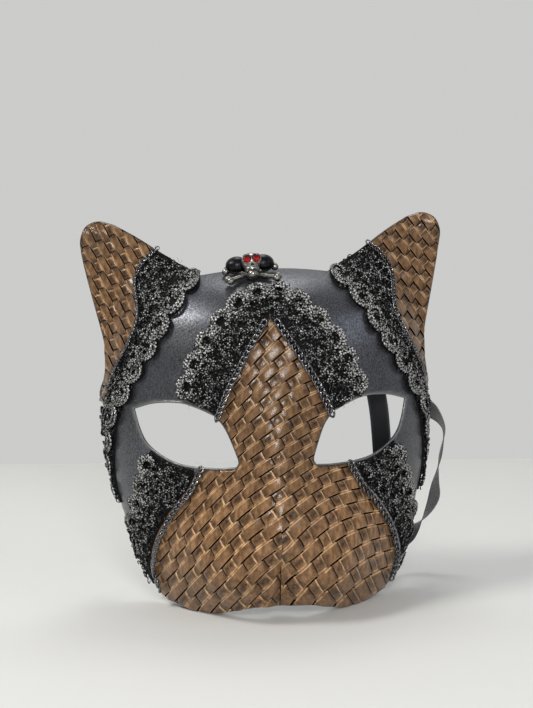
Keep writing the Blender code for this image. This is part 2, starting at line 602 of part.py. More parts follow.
clear_scene()
PARTS = new_collection("cat_half_mask")
CUTTERS = new_collection("cutters")
BLACK_SHELL = new_material("black_shell", (0.03, 0.03, 0.035), 0.45, 0.2)
BROWN_LEATHER = new_material("brown_leather", (0.20, 0.105, 0.045), 0.42, 0.0)
BLACK_LACE = new_material("black_lace", (0.05, 0.05, 0.055), 0.6, 0.3)
GUNMETAL = new_material("gunmetal", (0.10, 0.10, 0.11), 0.3, 1.0)
PEWTER = new_material("pewter", (0.32, 0.31, 0.29), 0.32, 1.0)
RED_STONE = new_material("red_stone", (0.75, 0.01, 0.03), 0.08, 0.0)
BLACK_SATIN = new_material("black_satin", (0.012, 0.013, 0.016), 0.4, 0.0)
make_shell(BLACK_SHELL)
make_leather(BROWN_LEATHER)
make_lace(BLACK_LACE)
make_chains(GUNMETAL)
make_charm(PEWTER, RED_STONE)
make_patches(BLACK_SATIN)
make_ribbon(BLACK_SATIN)
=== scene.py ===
"""Looks of the cat half-mask: painted shell, woven leather, corded lace, chains, charm and ribbon.

Metres, in the frame of the CAD model: the mask faces -Y, +Z is up, and the origin lies at eye height on the
middle plane, in the plane of the shell's back rim.
"""

import math

import bmesh
import bpy
import numpy as np
from mathutils import Matrix, Vector
from mathutils.geometry import delaunay_2d_cdt


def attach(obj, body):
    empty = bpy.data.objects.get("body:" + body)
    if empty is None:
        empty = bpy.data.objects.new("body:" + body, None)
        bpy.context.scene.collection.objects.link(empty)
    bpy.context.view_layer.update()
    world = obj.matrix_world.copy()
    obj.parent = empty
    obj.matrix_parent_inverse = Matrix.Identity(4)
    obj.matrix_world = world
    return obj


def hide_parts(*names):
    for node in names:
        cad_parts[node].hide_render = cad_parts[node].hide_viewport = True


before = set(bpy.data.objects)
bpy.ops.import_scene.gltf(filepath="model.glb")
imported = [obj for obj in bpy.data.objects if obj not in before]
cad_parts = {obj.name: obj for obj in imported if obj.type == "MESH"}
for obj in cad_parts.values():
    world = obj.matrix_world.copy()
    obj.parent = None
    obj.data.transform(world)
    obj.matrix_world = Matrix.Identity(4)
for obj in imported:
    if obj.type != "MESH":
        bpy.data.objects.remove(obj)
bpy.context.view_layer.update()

# Wall, layers and the clearances between them
SHELL_WALL = 0.0024
LEATHER = 0.0012
GAP = 0.0003

# Face dome: half width and depth of the elliptical cross-section at each height, as (height, size)
DOME_HALF_WIDTH = [
    (-0.090, 0.0540), (-0.075, 0.0620), (-0.060, 0.0675), (-0.045, 0.0715), (-0.025, 0.0765),
    (0.000, 0.0795), (0.015, 0.0795), (0.030, 0.0780), (0.045, 0.0765), (0.062, 0.0720),
    (0.076, 0.0650), (0.088, 0.0560), (0.120, 0.0500),
]
DOME_DEPTH = [
    (-0.090, 0.0500), (-0.070, 0.0600), (-0.040, 0.0660), (-0.010, 0.0660), (0.020, 0.0650),
    (0.045, 0.0605), (0.058, 0.0545), (0.066, 0.0470), (0.071, 0.0395), (0.075, 0.0310),
    (0.078, 0.0220), (0.082, 0.0080), (0.120, 0.0020),
]
DOME_HALF = max(width for _, width in DOME_HALF_WIDTH)

# Nose ridge, muzzle, its two lobes and the crease between them, added to the dome
NOSE_RISE, NOSE_SPREAD = 0.009, 0.015
NOSE_TOP, NOSE_FULL, NOSE_TIP, NOSE_END = 0.040, -0.015, -0.036, -0.058
MUZZLE_RISE, MUZZLE_HEIGHT = 0.014, -0.054
MUZZLE_SPREAD_X, MUZZLE_SPREAD_Z = 0.042, 0.024
LOBE_RISE, LOBE_X, LOBE_HEIGHT = 0.006, 0.024, -0.058
LOBE_SPREAD_X, LOBE_SPREAD_Z = 0.014, 0.015
CREASE_DEPTH, CREASE_SPREAD = 0.004, 0.0045
CREASE_TOP, CREASE_FULL = -0.042, -0.054

# Ear plates: a sloping plane that blends into the dome and fades out below the temple and over the brow
EAR_DEPTH, EAR_X, EAR_HEIGHT = 0.020, 0.060, 0.060
EAR_SLOPE_X, EAR_SLOPE_Z = 0.30, 0.10
EAR_FADE_HEIGHT, EAR_FADE_X = 0.034, 0.048
EAR_FADE, EAR_FADE_POWER = 8.0, 1.5
EAR_BLEND = 0.006

# Step for the slope of the surface, and rounds that find the foot of a point above it
SLOPE_STEP, FOOT_ROUNDS = 0.0002, 6

# Grid of the moulded surface, finer than the CAD model's
GRID_HALF_WIDTH, GRID_TURN = 0.096, 1.2
GRID_BOTTOM, GRID_TOP = -0.090, 0.112
COLUMNS, ROWS = 150, 130

# Right halves of the outlines in front view, as (x, z) from the middle plane outwards
BROW_EDGE = [(0.0, 0.0768), (0.012, 0.0765), (0.022, 0.0756), (0.030, 0.0745)]
EAR_INNER_EDGE = [(0.030, 0.0745), (0.040, 0.0800), (0.050, 0.0870), (0.061, 0.0945), (0.071, 0.1003)]
EAR_TIP_EDGE = [(0.071, 0.1003), (0.0785, 0.1020), (0.0845, 0.0995), (0.0873, 0.0935), (0.0874, 0.0880)]
EAR_OUTER_EDGE = [(0.0874, 0.0880), (0.0858, 0.0790), (0.0825, 0.0650), (0.0790, 0.0510), (0.0772, 0.0430)]
TEMPLE_EDGE = [(0.0772, 0.0430), (0.0775, 0.0300), (0.0830, 0.0150), (0.0835, -0.0200), (0.0825, -0.0560)]
JAW_EDGE = [(0.0825, -0.0560), (0.0720, -0.0705), (0.0600, -0.0755), (0.0510, -0.0774), (0.0440, -0.0786)]
CHIN_EDGE = [(0.0440, -0.0786), (0.0370, -0.0800), (0.0280, -0.0792), (0.0200, -0.0765), (0.0110, -0.0740),
             (0.0, -0.0748)]
EYE_TOP = [(0.0635, 0.0142), (0.0535, 0.0172), (0.0420, 0.0175), (0.0340, 0.0152), (0.0260, 0.0115)]
EYE_INNER = [(0.0260, 0.0115), (0.0215, 0.0055), (0.0173, -0.0050), (0.0162, -0.0092), (0.0175, -0.0118)]
EYE_BOTTOM = [(0.0175, -0.0118), (0.0250, -0.0124), (0.0345, -0.0122)]
EYE_OUTER = [(0.0345, -0.0122), (0.0435, -0.0106), (0.0510, -0.0072), (0.0575, -0.0020), (0.0610, 0.0048),
             (0.0635, 0.0142)]
LEATHER_POINT = [(0.0, 0.0540), (0.0113, 0.0375), (0.0200, 0.0235), (0.0260, 0.0115)]
LEATHER_CHEEK = [(0.0345, -0.0122), (0.0392, -0.0212), (0.0455, -0.0289), (0.0505, -0.0367),
                 (0.0550, -0.0460), (0.0576, -0.0560), (0.0580, -0.0630), (0.0560, -0.0712),
                 (0.0510, -0.0774)]
EAR_SEAM = [(0.0500, 0.0870), (0.0560, 0.0820), (0.0602, 0.0750), (0.0604, 0.0690), (0.0592, 0.0600),
            (0.0600, 0.0530), (0.0645, 0.0430), (0.0705, 0.0330), (0.0750, 0.0235), (0.0785, 0.0130)]
TEMPLE_TRIM = [(0.0785, 0.0130), (0.0830, 0.0060), (0.0835, -0.0200), (0.0745, -0.0345)]
EAR_LACE_FACE = [(0.0300, 0.0745), (0.0345, 0.0670), (0.0405, 0.0615), (0.0445, 0.0545), (0.0490, 0.0455),
                 (0.0540, 0.0385), (0.0595, 0.0300), (0.0640, 0.0225), (0.0685, 0.0140)]
EAR_LACE_FLANK = [(0.0685, 0.0140), (0.0715, 0.0070), (0.0735, -0.0040), (0.0748, -0.0140), (0.0745, -0.0240),
                  (0.0720, -0.0335)]
FOREHEAD_LACE_FACE = [(0.0, 0.0675), (0.0075, 0.0670), (0.0150, 0.0615), (0.0222, 0.0555), (0.0275, 0.0490),
                      (0.0330, 0.0410), (0.0368, 0.0335), (0.0400, 0.0260), (0.0415, 0.0195)]
CHEEK_LACE_FACE = [(0.0575, -0.0060), (0.0600, -0.0140), (0.0630, -0.0240), (0.0655, -0.0340),
                   (0.0685, -0.0440)]
CHEEK_LACE_JAW = [(0.0685, -0.0440), (0.0760, -0.0490), (0.0760, -0.0640), (0.0640, -0.0735),
                  (0.0572, -0.0722)]

# Rim of the jaw in side view, as (y, z) from the temple down to the chin
JAW_RIM = [(0.0030, -0.0335), (-0.0080, -0.0372), (-0.0145, -0.0425), (-0.0172, -0.0495), (-0.0184, -0.0570),
           (-0.0208, -0.0640), (-0.0250, -0.0710), (-0.0312, -0.0775), (-0.0400, -0.0840)]

# Shell: the angle of its sharp edges, the rolled rims of its eyes and how far the paint is worn off there
SHARP_ANGLE = math.radians(40.0)
RIM_SPACING, RIM_LIFT, RIM_RADIUS, RIM_SIDES = 0.0008, -0.0001, 0.0006, 8
EDGE_WORN, EDGE_WORN_SPREAD = 0.6, 0.0006
RIM_WORN, RIM_WORN_FROM = 0.40, 0.0002

# Scallops along the lace edges
SCALLOP_DEPTH, SCALLOP_VALLEY, SCALLOP_ROUNDNESS = 0.0018, 0.0012, 0.7
FOREHEAD_SCALLOPS, EAR_SCALLOPS, CHEEK_SCALLOPS = 6, 6, 4
LACE_SETBACK = 0.0008

# Stretches of the eye and leather edges that the lace follows, as points of their smooth runs
FOREHEAD_BY_EYE = slice(5, -2)
CHEEK_BY_EYE = slice(1, -12)
CHEEK_BY_LEATHER = slice(7, -2)

# Woven leather: places of the slits that were found on the face, in mm, by their two counts in the weave
WEAVE_MARKS = {
    (0, 0): (-1.5, 44), (2, 1): (10.5, 35), (0, 2): (-10, 27.5), (3, 2): (16, 26), (2, 3): (3, 19.5),
    (4, 3): (20.5, 16.5), (0, 4): (-17, 10.5), (2, 4): (0, 12), (4, 4): (16, 9.5), (0, 5): (-18.5, 2),
    (3, 5): (3.5, 2.5), (1, 6): (-15, -7), (5, 6): (14.5, -9), (7, 6): (30, -15), (-1, 7): (-35.5, -23),
    (1, 7): (-20, -18.5), (3, 7): (-4.5, -12.5), (5, 7): (13.5, -14.5), (8, 7): (35.5, -24),
    (-1, 8): (-40.5, -31.5), (2, 8): (-17, -24), (6, 8): (17, -24.5), (9, 8): (40, -34),
    (-1, 9): (-47.5, -41.5), (1, 9): (-30.5, -36.5), (3, 9): (-15, -30), (5, 9): (5, -27),
    (6, 9): (13.5, -30), (7, 9): (22, -34), (8, 9): (30.5, -37.5), (9, 9): (37, -40.5), (-1, 10): (-50, -52),
    (2, 10): (-29, -44), (4, 10): (-11, -36.5), (6, 10): (10, -37), (7, 10): (18, -41), (8, 10): (26, -44.5),
    (9, 10): (34, -48), (1, 11): (-39.5, -58), (4, 11): (-15.5, -48), (6, 11): (3.5, -46), (7, 11): (13, -49),
    (8, 11): (21.5, -52), (9, 11): (30, -56.5), (2, 12): (-33.5, -67), (3, 12): (-25, -62.5),
    (4, 12): (-17.5, -59), (5, 12): (-9.5, -55.5), (4, 13): (-20, -70), (5, 13): (-12, -66.5),
    (6, 12): (5, -56.5), (7, 12): (13.5, -61.5), (8, 12): (24, -66),
}
WEAVE_SPAN = 0.050
WEAVE_SPLIT_HEIGHT, WEAVE_SPLIT_SPAN = -0.034, 0.030
WEAVE_STIFFNESS = 0.003

# Weave of each ear: where one slit lies and the two steps to its neighbours, in front view
EAR_WEAVES = {
    "left": ((-0.0740, 0.0740), (-0.0002, 0.0078), (0.0069, -0.0058)),
    "right": ((0.0740, 0.0740), (0.0004, -0.0079), (-0.0070, 0.0018)),
}

# One cell of the weave, in shares of a repeat along the strips and of a strip's width down across them:
# a square where one strip passes over, bricks between the squares, and the slits where a strip goes under
SQUARE_LEFT, SQUARE_RIGHT = -0.19, 0.15
SQUARE_MIDDLE, SQUARE_HALF = (SQUARE_LEFT + SQUARE_RIGHT) / 2, (SQUARE_RIGHT - SQUARE_LEFT) / 2
SLIT_HALF = 0.23
SEAM_X, SEAM_HALF, SEAM_TOP = -0.0006, 0.0005, -0.0525
LEATHER_LOW, LEATHER_RELIEF = 0.0008, 0.0008
LEATHER_SPACING = 0.00038
# How the panel's edge rises and drops at its rim, and how far the painted shade along the edge reaches
EDGE_RISE, EDGE_DROP, EDGE_DROP_SPREAD, EDGE_SHADE_SPREAD = 0.0012, 0.4, 0.0005, 0.0006

# Relief of a cell: how far a square dives at its two ends, as (depth, spread), and how the strips round off
DIVE_TOP, DIVE_BOTTOM = (0.85, 0.20), (0.45, 0.14)
SQUARE_ROUND = 0.28
BRICK_LEVEL, BRICK_END, BRICK_ROUND = 0.95, 0.55, 0.25

# Paint of a cell: places down or along it, and reaches as (limit, fade) or as one fade to both sides
SLIT_DOWN, SLIT_DEEP, SLIT_FADE, UNDER_DEEP = 0.01, (0.055, 0.035), 0.02, (0.020, 0.030)
CROSS_WIDE, CROSS_LONG, CROSS_DARK = (0.010, 0.016), (0.80, 0.1), 0.85
# Tan along some raised edges of the strips: the foot and right side of a square, the top and foot of a brick
SQUARE_TAN_DOWN, SQUARE_TAN_DEEP, SQUARE_TAN_IN, SQUARE_TAN_WIDE = 0.94, 0.09, 0.020, 0.034
BRICK_TAN_DOWN, BRICK_TAN_DEEP = 0.10, 0.09
BRICK_FOOT_DOWN, BRICK_FOOT_DEEP, BRICK_FOOT_TAN = 0.93, 0.06, 0.25
# Painted shade of a cell: in the middle of a square and at the ends of a brick
SQUARE_SHADE_DOWN, SQUARE_SHADE_DEEP, SQUARE_SHADE_WIDE = 0.45, 0.44, (0.08, 0.08)
BRICK_SHADE_WIDE, BRICK_END_SHADE = (0.02, 0.16), 0.8
TAN_SHARE, CELL_SHADE_SHARE, CELL_DIM = 0.9, 0.9, 0.2

# A chance number for each cell of the weave, painted shade that darkens the leather from the middle of the
# eyes upwards and fades out below them, and how the leather shines
ROW_STEP, REPEAT_STEP, SQUARE_STEP, CHANCE_SPREAD = 12.71, 31.17, 7.47, 437.585
HIGH_SHADE_SCALE, HIGH_SHADE_LEVELS = 25.0, ((0.10, 0.72), (0.80, 1.0))
LEATHER_COAT, LEATHER_SHINE = 0.55, 0.12

# Route of the ribbon's middle line and the direction across it, one pair for each point
RIBBON_WIDTH, RIBBON_THICKNESS = 0.0095, 0.0005
RIBBON_STATIONS, RIBBON_STEPS, RIBBON_ACROSS = 260, 12, 9
RIBBON_EDGE, RIBBON_EDGE_POWER, RIBBON_CUP = 1.04, 8, 0.0002
SELVEDGE_FROM = 0.7
RIBBON_ROUTE = [
    ((0.0722, -0.0165, 0.0080), (0.0, 0.0, 1.0)),
    ((0.0740, -0.0060, 0.0074), (0.0, 0.0, 1.0)),
    ((0.0775, 0.0034, 0.0060), (0.0, 0.1, 1.0)),
    ((0.0845, 0.0055, 0.0030), (0.3, 0.5, 0.8)),
    ((0.0898, 0.0058, -0.0030), (0.4, 0.9, 0.3)),
    ((0.0915, 0.0058, -0.0095), (0.3, 0.9, 0.0)),
    ((0.0892, 0.0060, -0.0210), (0.1, 1.0, 0.0)),
    ((0.0865, 0.0055, -0.0330), (0.5, 0.8, 0.0)),
    ((0.0845, 0.0040, -0.0430), (0.8, 0.6, 0.2)),
    ((0.0790, 0.0044, -0.0530), (0.7, 0.6, 0.5)),
    ((0.0700, 0.0032, -0.0605), (0.5, 0.6, 0.7)),
    ((0.0590, -0.0045, -0.0640), (0.9, 0.4, 0.3)),
    ((0.0545, -0.0155, -0.0540), (1.0, 0.2, 0.1)),
    ((0.0540, -0.0265, -0.0310), (1.0, 0.2, 0.1)),
    ((0.0528, -0.0330, -0.0100), (1.0, 0.2, 0.1)),
    ((0.0506, -0.0380, 0.0120), (1.0, 0.2, 0.1)),
    ((0.0460, -0.0410, 0.0300), (1.0, 0.3, 0.3)),
    ((0.0370, -0.0425, 0.0455), (0.8, 0.3, 0.6)),
    ((0.0200, -0.0445, 0.0540), (0.3, 0.4, 1.0)),
    ((0.0000, -0.0455, 0.0560), (0.0, 0.4, 1.0)),
    ((-0.0200, -0.0445, 0.0540), (-0.2, 0.4, 1.0)),
    ((-0.0400, -0.0405, 0.0470), (-0.4, 0.3, 1.0)),
    ((-0.0560, -0.0335, 0.0350), (-0.5, 0.3, 1.0)),
    ((-0.0665, -0.0255, 0.0220), (-0.4, 0.5, 0.9)),
    ((-0.0706, -0.0205, 0.0140), (-0.34, 0.7, 0.7)),
    ((-0.0722, -0.0165, 0.0080), (-0.27, 0.8, 0.6)),
]

# Lace: a dark ground, two cords round the hollow of each scallop, loose cords and fine curls between them,
# and stray fibres. A scallop's cords are given in half widths of the scallop, along its edge and outwards.
# A pair in brackets is a chance range: of sizes as shares, and of turns in radians.
LACE_SPACING = 0.0009
LACE_GROUND = 0.0005
SCALLOP_POINTS, PETAL_STEPS = 16, 8
GROUND_SPREAD = (0.6, 1.2)
PETAL_CORDS = [
    [(-0.50, -0.85), (-0.82, -0.45), (-0.86, -0.02), (-0.62, 0.24), (-0.30, 0.38), (0.0, 0.42), (0.30, 0.38),
     (0.62, 0.24), (0.86, -0.02), (0.84, -0.42), (0.55, -0.74), (0.18, -0.74), (0.05, -0.52)],
    [(-0.38, -0.62), (-0.56, -0.30), (-0.52, -0.02), (-0.28, 0.12), (0.0, 0.16), (0.28, 0.11), (0.52, -0.04),
     (0.56, -0.28), (0.34, -0.46)],
]
HOLLOW_IN, HOLLOW_SIZE = -0.28, 0.36
PETAL_FOOT, PETAL_RISE, PETAL_ROUNDNESS = 0.0010, 0.0013, 0.6
FLANK_PETALS, FLANK_INSET = 4, 0.0028
BRAID_WIDTH, BRAID_HEIGHT, BRAID_PITCH, BRAID_YARN = 0.00056, 0.00030, 0.0050, 0.00044
BRAID_POINTS, BRAID_LEAST = 13, 12
LOOSE_STEP, LOOSE_RADIUS, LOOSE_POINTS = 0.0036, 0.0027, 22
LOOSE_LIFT, LOOSE_YARN, LOOSE_INSET = 0.0015, 0.00030, 0.0016
LOOSE_LIFTS, LOOSE_TURNS, LOOSE_FOOT = (0.7, 1.5), (2.2, 4.6), 0.6
CURL_STEP, CURL_TOP = 0.0019, 0.0016
CURL_RADIUS, CURL_YARN, CURL_POINTS = 0.0014, 0.00025, 11
CURL_TOPS, CURL_TURNS, CURL_FOOT, CURL_ROUNDNESS = (0.55, 1.25), (2.6, 5.6), 0.35, 0.8
WIND_SIZES, WIND_IN, WIND_LEAN = (0.7, 1.4), 0.45, 0.4
GRID_CHANCE = 0.45
YARN_SIDES, YARN_TIP = 5, 0.1
FLECK_PITCH = 0.0030
# How far the silver shows: along the twist on the curls; on the loose and braided cords as painted highlight
# where a strand lies on top and painted shade where it passes under
CURL_SILVER, LOOSE_SILVER, BRAID_SILVER = 0.78, 0.78, 0.90
FIBRE_COUNT, FIBRE_LENGTH, FIBRE_RADIUS, FIBRE_POINTS = 60, 0.0035, 0.00005, 7
FIBRE_SPACING, FIBRE_FOOT, FIBRE_BEND = 0.0005, 0.0012, 1.5
FIBRE_LENGTHS, FIBRE_SLOPES = (0.3, 1.0), (0.2, 0.6)

# Chains: pitch and radius, then a link's length in pitches, its width and wire in radii, its roll and twist
LINK_PITCH = 0.0028
LINK_RADIUS = 0.0013
EAR_LINK_RADIUS = 0.0009
LINK_LENGTH, LINK_WIDTH, LINK_WIRE = 1.46, 2.0, 0.40
LINK_ROLL, LINK_ROLL_SPREAD, LINK_TWIST = math.radians(26.0), 0.2, 0.7
LINK_SEGMENTS, LINK_SIDES = 20, 8
CHAIN_INSET = 0.0010
CHAIN_CLEARANCE = 0.0005
CHAIN_TOP_SHIFT = -1.3

# Charm: on the brow above the lace, left of the middle and a little turned
CHARM_X, CHARM_ABOVE_LACE = -0.0065, 0.0050
CHARM_TURN = math.radians(5.0)
CHARM_LIFT = -0.0001
SKULL_LEAN = math.radians(48.0)
CRANIUM = (0.0046, 0.0044, 0.0038)
CRANIUM_UP = 0.0017
UPPER_JAW = (0.0036, 0.0030, 0.0030)
UPPER_JAW_UP = -0.0020
CHIN = (0.0027, 0.0024, 0.0027)
CHIN_UP, CHIN_OUT = -0.0047, 0.0010
SOCKET_X, SOCKET_UP, SOCKET_OUT = 0.0022, 0.0024, 0.0034
GEM_RADIUS, GEM_HALF_HEIGHT = 0.0018, 0.0013
BONE_HALF_LENGTH, BONE_RADIUS = 0.0125, 0.0010
KNOB_RADIUS, KNOB_SPLIT = 0.0018, 0.0010
BONE_ANGLE = math.radians(27.0)
BONE_STEP = 0.0005
BOW_LOBE = (0.0054, 0.0047, 0.0041)
BOW_LOBE_X, BOW_UP = 0.0061, 0.0060
BOW_KNOT = (0.0026, 0.0036, 0.0030)
BOW_DARK_TO, BOW_DARK_ABOVE = (1.02, 1.10), (0.0022, 0.0032)
CHARM_VOXEL, CHARM_SOFTENING = 0.00016, 4
BALL_SEGMENTS, BEAD_SEGMENTS, ROD_SEGMENTS = (24, 16), (8, 6), 20
BEZEL_RADIUS, BEZEL_WIRE, BEZEL_OUT, BEZEL_BEADS = 0.0021, 0.00035, 0.0032, 28
MOUTH_UP, MOUTH_BEND, MOUTH_HALF, MOUTH_SPREAD = -0.0026, 0.0012, 0.0026, 0.00045
NOSE_HOLE_UP, NOSE_HOLE_HEIGHT, NOSE_HOLE_HALF = 0.0006, 0.0015, 0.0009

# Cut of a stone: its rings as (radius, level, turn in facets), from the table to the girdle, and its tip
GEM_RINGS = [(0.52, 0.92, 0.5), (0.80, 0.62, 0.0), (0.96, 0.18, 0.5), (0.96, 0.05, 0.5)]
GEM_FACETS, GEM_TIP = 10, -0.9

# Patches that hold the ribbon's two ends inside the temples
PATCH_THICKNESS = 0.0010
PATCH_LENGTH, PATCH_HEIGHT = 0.018, 0.018
PATCH_FRONT, PATCH_MIDDLE = -0.026, 0.008
PATCH_INNER_X = 0.055

# Plane in front of the mask where the cutters start, and how near their points merge
CUTTER_FRONT = -0.126
MERGE_DISTANCE = 1e-6

# Sides of the mask as the camera sees them, by the sign of X
SIDES = {"left": -1, "right": 1}

# Filled outlines: by what the spacing is divided for the margin at the edge, and how near points may merge
FILL_MARGIN, FILL_TOLERANCE = 3, 1e-8

# Metals: dark and pale colour, and how rough they are where bright and where stained; tarnish and fine dents
GUNMETAL = ((0.06, 0.06, 0.065), (0.26, 0.26, 0.27), 0.10, 0.24)
PEWTER = ((0.17, 0.165, 0.15), (0.36, 0.35, 0.33), 0.24, 0.40)
TARNISH = (0.022, 0.022, 0.024)
METAL_DENTS = 0.00003

# Shell paint: colours, shares of the silver and the flakes, and the height of the brush strokes
SHELL_BLACK, SHELL_BLUE = (0.030, 0.031, 0.036), (0.050, 0.052, 0.068)
SHELL_SILVER, SHELL_FLAKES, SHELL_WORN = (0.20, 0.205, 0.205), (0.36, 0.37, 0.42), (0.42, 0.42, 0.40)
SILVER_SHARE, FLAKE_SHARE, BRUSH_HEIGHT = 0.50, 0.55, 0.00004
LINING_DARK, LINING_PALE, LINING_HEIGHT = (0.012, 0.012, 0.013), (0.030, 0.030, 0.032), 0.0002

# Leather: browns along its streaks, its other colours, the share of its pores and heights of its grain
LEATHER_BROWNS = [(0.30, (0.120, 0.059, 0.024)), (0.50, (0.235, 0.124, 0.054)), (0.70, (0.370, 0.205, 0.096))]
# Darkest colour of the cells, for their painted shade and their chance tone, and the tan of some raised edges
LEATHER_SHADE_AND_TONE, LEATHER_TAN_EDGE = (0.020, 0.009, 0.004), (0.680, 0.425, 0.220)
# Colour of the slits, and of the painted shade along the panel's edge and on its turned-down side
LEATHER_SLIT, LEATHER_EDGE_SHADE = (0.003, 0.002, 0.0015), (0.030, 0.016, 0.009)
PORE_SHARE, GRAIN_HEIGHT = 0.75, 0.00018
PORE_RELIEF, STREAK_RELIEF, TAN_RELIEF, SLIT_RELIEF = 0.30, 0.30, 0.3, 1.2

# Yarn, stones along their glow, a painted light that is brightest at their lower side, and satin
YARN_BLACK, YARN_GREY, YARN_SILVER = (0.0010, 0.0010, 0.0013), (0.005, 0.005, 0.006), (0.56, 0.56, 0.55)
YARN_METAL = 0.75
STONE_REDS = [(0.25, (0.10, 0.0, 0.008)), (0.50, (0.34, 0.003, 0.014)), (0.75, (0.80, 0.022, 0.016))]
SATIN_DARK, SATIN_PALE, SATIN_SELVEDGE = (0.006, 0.006, 0.008), (0.013, 0.014, 0.017), (0.030, 0.040, 0.045)
SATIN_THREADS, SATIN_WAVER, SATIN_HEIGHT = 16.0, 0.6, 0.00004

# Camera: the point it looks at, its distance and angles, and its focal length
CAMERA_TARGET = (-0.0011, -0.0400, 0.0368)
CAMERA_DISTANCE = 0.4937
CAMERA_AZIMUTH = math.radians(-3.37)
CAMERA_ELEVATION = math.radians(2.80)
CAMERA_ROLL = math.radians(-1.93)
CAMERA_LENS = 54.15

# Stage: floor, wall, lamps as (place, size, watts, colour) and sky
SHEET_HALF, SHEET_SEGMENTS = 2.0, 8
FLOOR_HEIGHT, FLOOR_MIDDLE, WALL_MIDDLE = -0.0802, -1.0, 1.0
WALL_BEHIND, WALL_TURN = 0.41, math.radians(-12.0)
FLOOR_COLOUR = (0.69, 0.69, 0.675)
WALL_COLOUR = (0.60, 0.605, 0.595)
STAGE_SHADE = 0.985
LAMP_AIM = (0.0, -0.04, 0.01)
LAMPS = {
    "key": ((0.08, -1.05, 0.46), 0.24, 4.6, (1.0, 0.98, 0.95)),
    "left": ((-0.65, -0.30, 0.80), 0.24, 5.6, (1.0, 0.99, 0.95)),
    "right": ((0.80, -0.48, 0.52), 0.24, 0.8, (0.82, 0.88, 1.0)),
    "low_left": ((-0.75, -0.70, 0.08), 0.20, 0.8, (1.0, 1.0, 1.0)),
    "low_right": ((0.75, -0.75, 0.08), 0.20, 0.8, (1.0, 1.0, 1.0)),
    "front": ((0.0, -1.10, 0.05), 0.45, 3.4, (1.0, 0.99, 0.97)),
    "back": ((0.05, 0.28, 0.85), 0.25, 1.5, (1.0, 1.0, 1.0)),
}
NO_GLINT = {"front", "low_left", "low_right"}
SKY_COLOUR, SKY_STRENGTH = (0.80, 0.81, 0.83), 0.40

CHANCE = np.random.default_rng(seed=7)


def through(stations, at):
    """Smooth value at each height, through the (height, size) stations."""
    heights, sizes = np.array(stations).T
    slopes = np.gradient(sizes, heights)
    at = np.clip(at, heights[0], heights[-1])
    i = np.clip(np.searchsorted(heights, at) - 1, 0, len(heights) - 2)
    span = heights[i + 1] - heights[i]
    t = (at - heights[i]) / span
    start = (1 + 2 * t) * (1 - t) ** 2 * sizes[i] + t * (1 - t) ** 2 * span * slopes[i]
    end = t * t * (3 - 2 * t) * sizes[i + 1] + t * t * (t - 1) * span * slopes[i + 1]
    return start + end


def ease(value, low, high):
    """A smooth step from 0 at the low value to 1 at the high one."""
    t = np.clip((value - low) / (high - low), 0.0, 1.0)
    return t * t * (3 - 2 * t)


def bump(value, middle, spread):
    """1 at the middle, falling smoothly to 0 on both sides."""
    return np.exp(-(((value - middle) / spread) ** 2))


def mask_depth(x, z):
    """How far the shell's outer surface lies in front of the rim plane."""
    side = np.abs(x)
    inside = 1 - (side / through(DOME_HALF_WIDTH, z)) ** 2
    dome = through(DOME_DEPTH, z) * np.sign(inside) * np.sqrt(np.abs(inside))
    nose = NOSE_RISE * bump(x, 0.0, NOSE_SPREAD)
    nose = nose * ease(-z, -NOSE_TOP, -NOSE_FULL) * (1 - ease(-z, -NOSE_TIP, -NOSE_END))
    muzzle = MUZZLE_RISE * bump(x, 0.0, MUZZLE_SPREAD_X) * bump(z, MUZZLE_HEIGHT, MUZZLE_SPREAD_Z)
    lobes = LOBE_RISE * bump(side, LOBE_X, LOBE_SPREAD_X) * bump(z, LOBE_HEIGHT, LOBE_SPREAD_Z)
    crease = CREASE_DEPTH * bump(x, 0.0, CREASE_SPREAD) * ease(-z, -CREASE_TOP, -CREASE_FULL)
    face = dome + nose + muzzle + lobes - crease
    ear = EAR_DEPTH - EAR_SLOPE_X * (side - EAR_X) - EAR_SLOPE_Z * (z - EAR_HEIGHT)
    ear = ear - EAR_FADE * np.clip(EAR_FADE_HEIGHT - z, 0.0, None) ** EAR_FADE_POWER
    ear = ear - EAR_FADE * np.clip(EAR_FADE_X - side, 0.0, None) ** EAR_FADE_POWER
    return (face + ear + np.sqrt((face - ear) ** 2 + EAR_BLEND**2)) / 2


def mask_normal(x, z):
    """Outward direction of the surface."""
    across = (mask_depth(x + SLOPE_STEP, z) - mask_depth(x - SLOPE_STEP, z)) / (2 * SLOPE_STEP)
    upward = (mask_depth(x, z + SLOPE_STEP) - mask_depth(x, z - SLOPE_STEP)) / (2 * SLOPE_STEP)
    return unit(np.stack([-across, -np.ones_like(across), -upward], -1))


def on_mask(x, z, lift):
    """Points at a height above the shell's outer surface."""
    x = np.asarray(x, float)
    z = np.asarray(z, float)
    lift = np.asarray(lift, float)[..., None]
    return np.stack([x, -mask_depth(x, z), z], -1) + lift * mask_normal(x, z)


def over_mask(line, lift):
    """Points at a height above the surface that lie on a flat line in front view."""
    foot = line
    for _ in range(FOOT_ROUNDS):
        foot = line - lift * mask_normal(*foot.T)[:, [0, 2]]
    return on_mask(*foot.T, lift)


def curve_through(points, steps=5):
    """Points along a smooth open curve through the given ones."""
    points = np.array(points, float)
    ends = np.concatenate([[2 * points[0] - points[1]], points, [2 * points[-1] - points[-2]]])
    found = []
    for a, b, c, d in zip(ends, ends[1:], ends[2:], ends[3:]):
        for t in np.arange(steps) / steps:
            found.append(0.5 * (2 * b + (c - a) * t + (2 * a - 5 * b + 4 * c - d) * t**2
                                + (3 * b - a - 3 * c + d) * t**3))
    return np.array([*found, points[-1]])


def outline(*runs):
    """One closed outline from runs that meet at corners."""
    return np.concatenate([curve_through(run)[:-1] for run in runs])


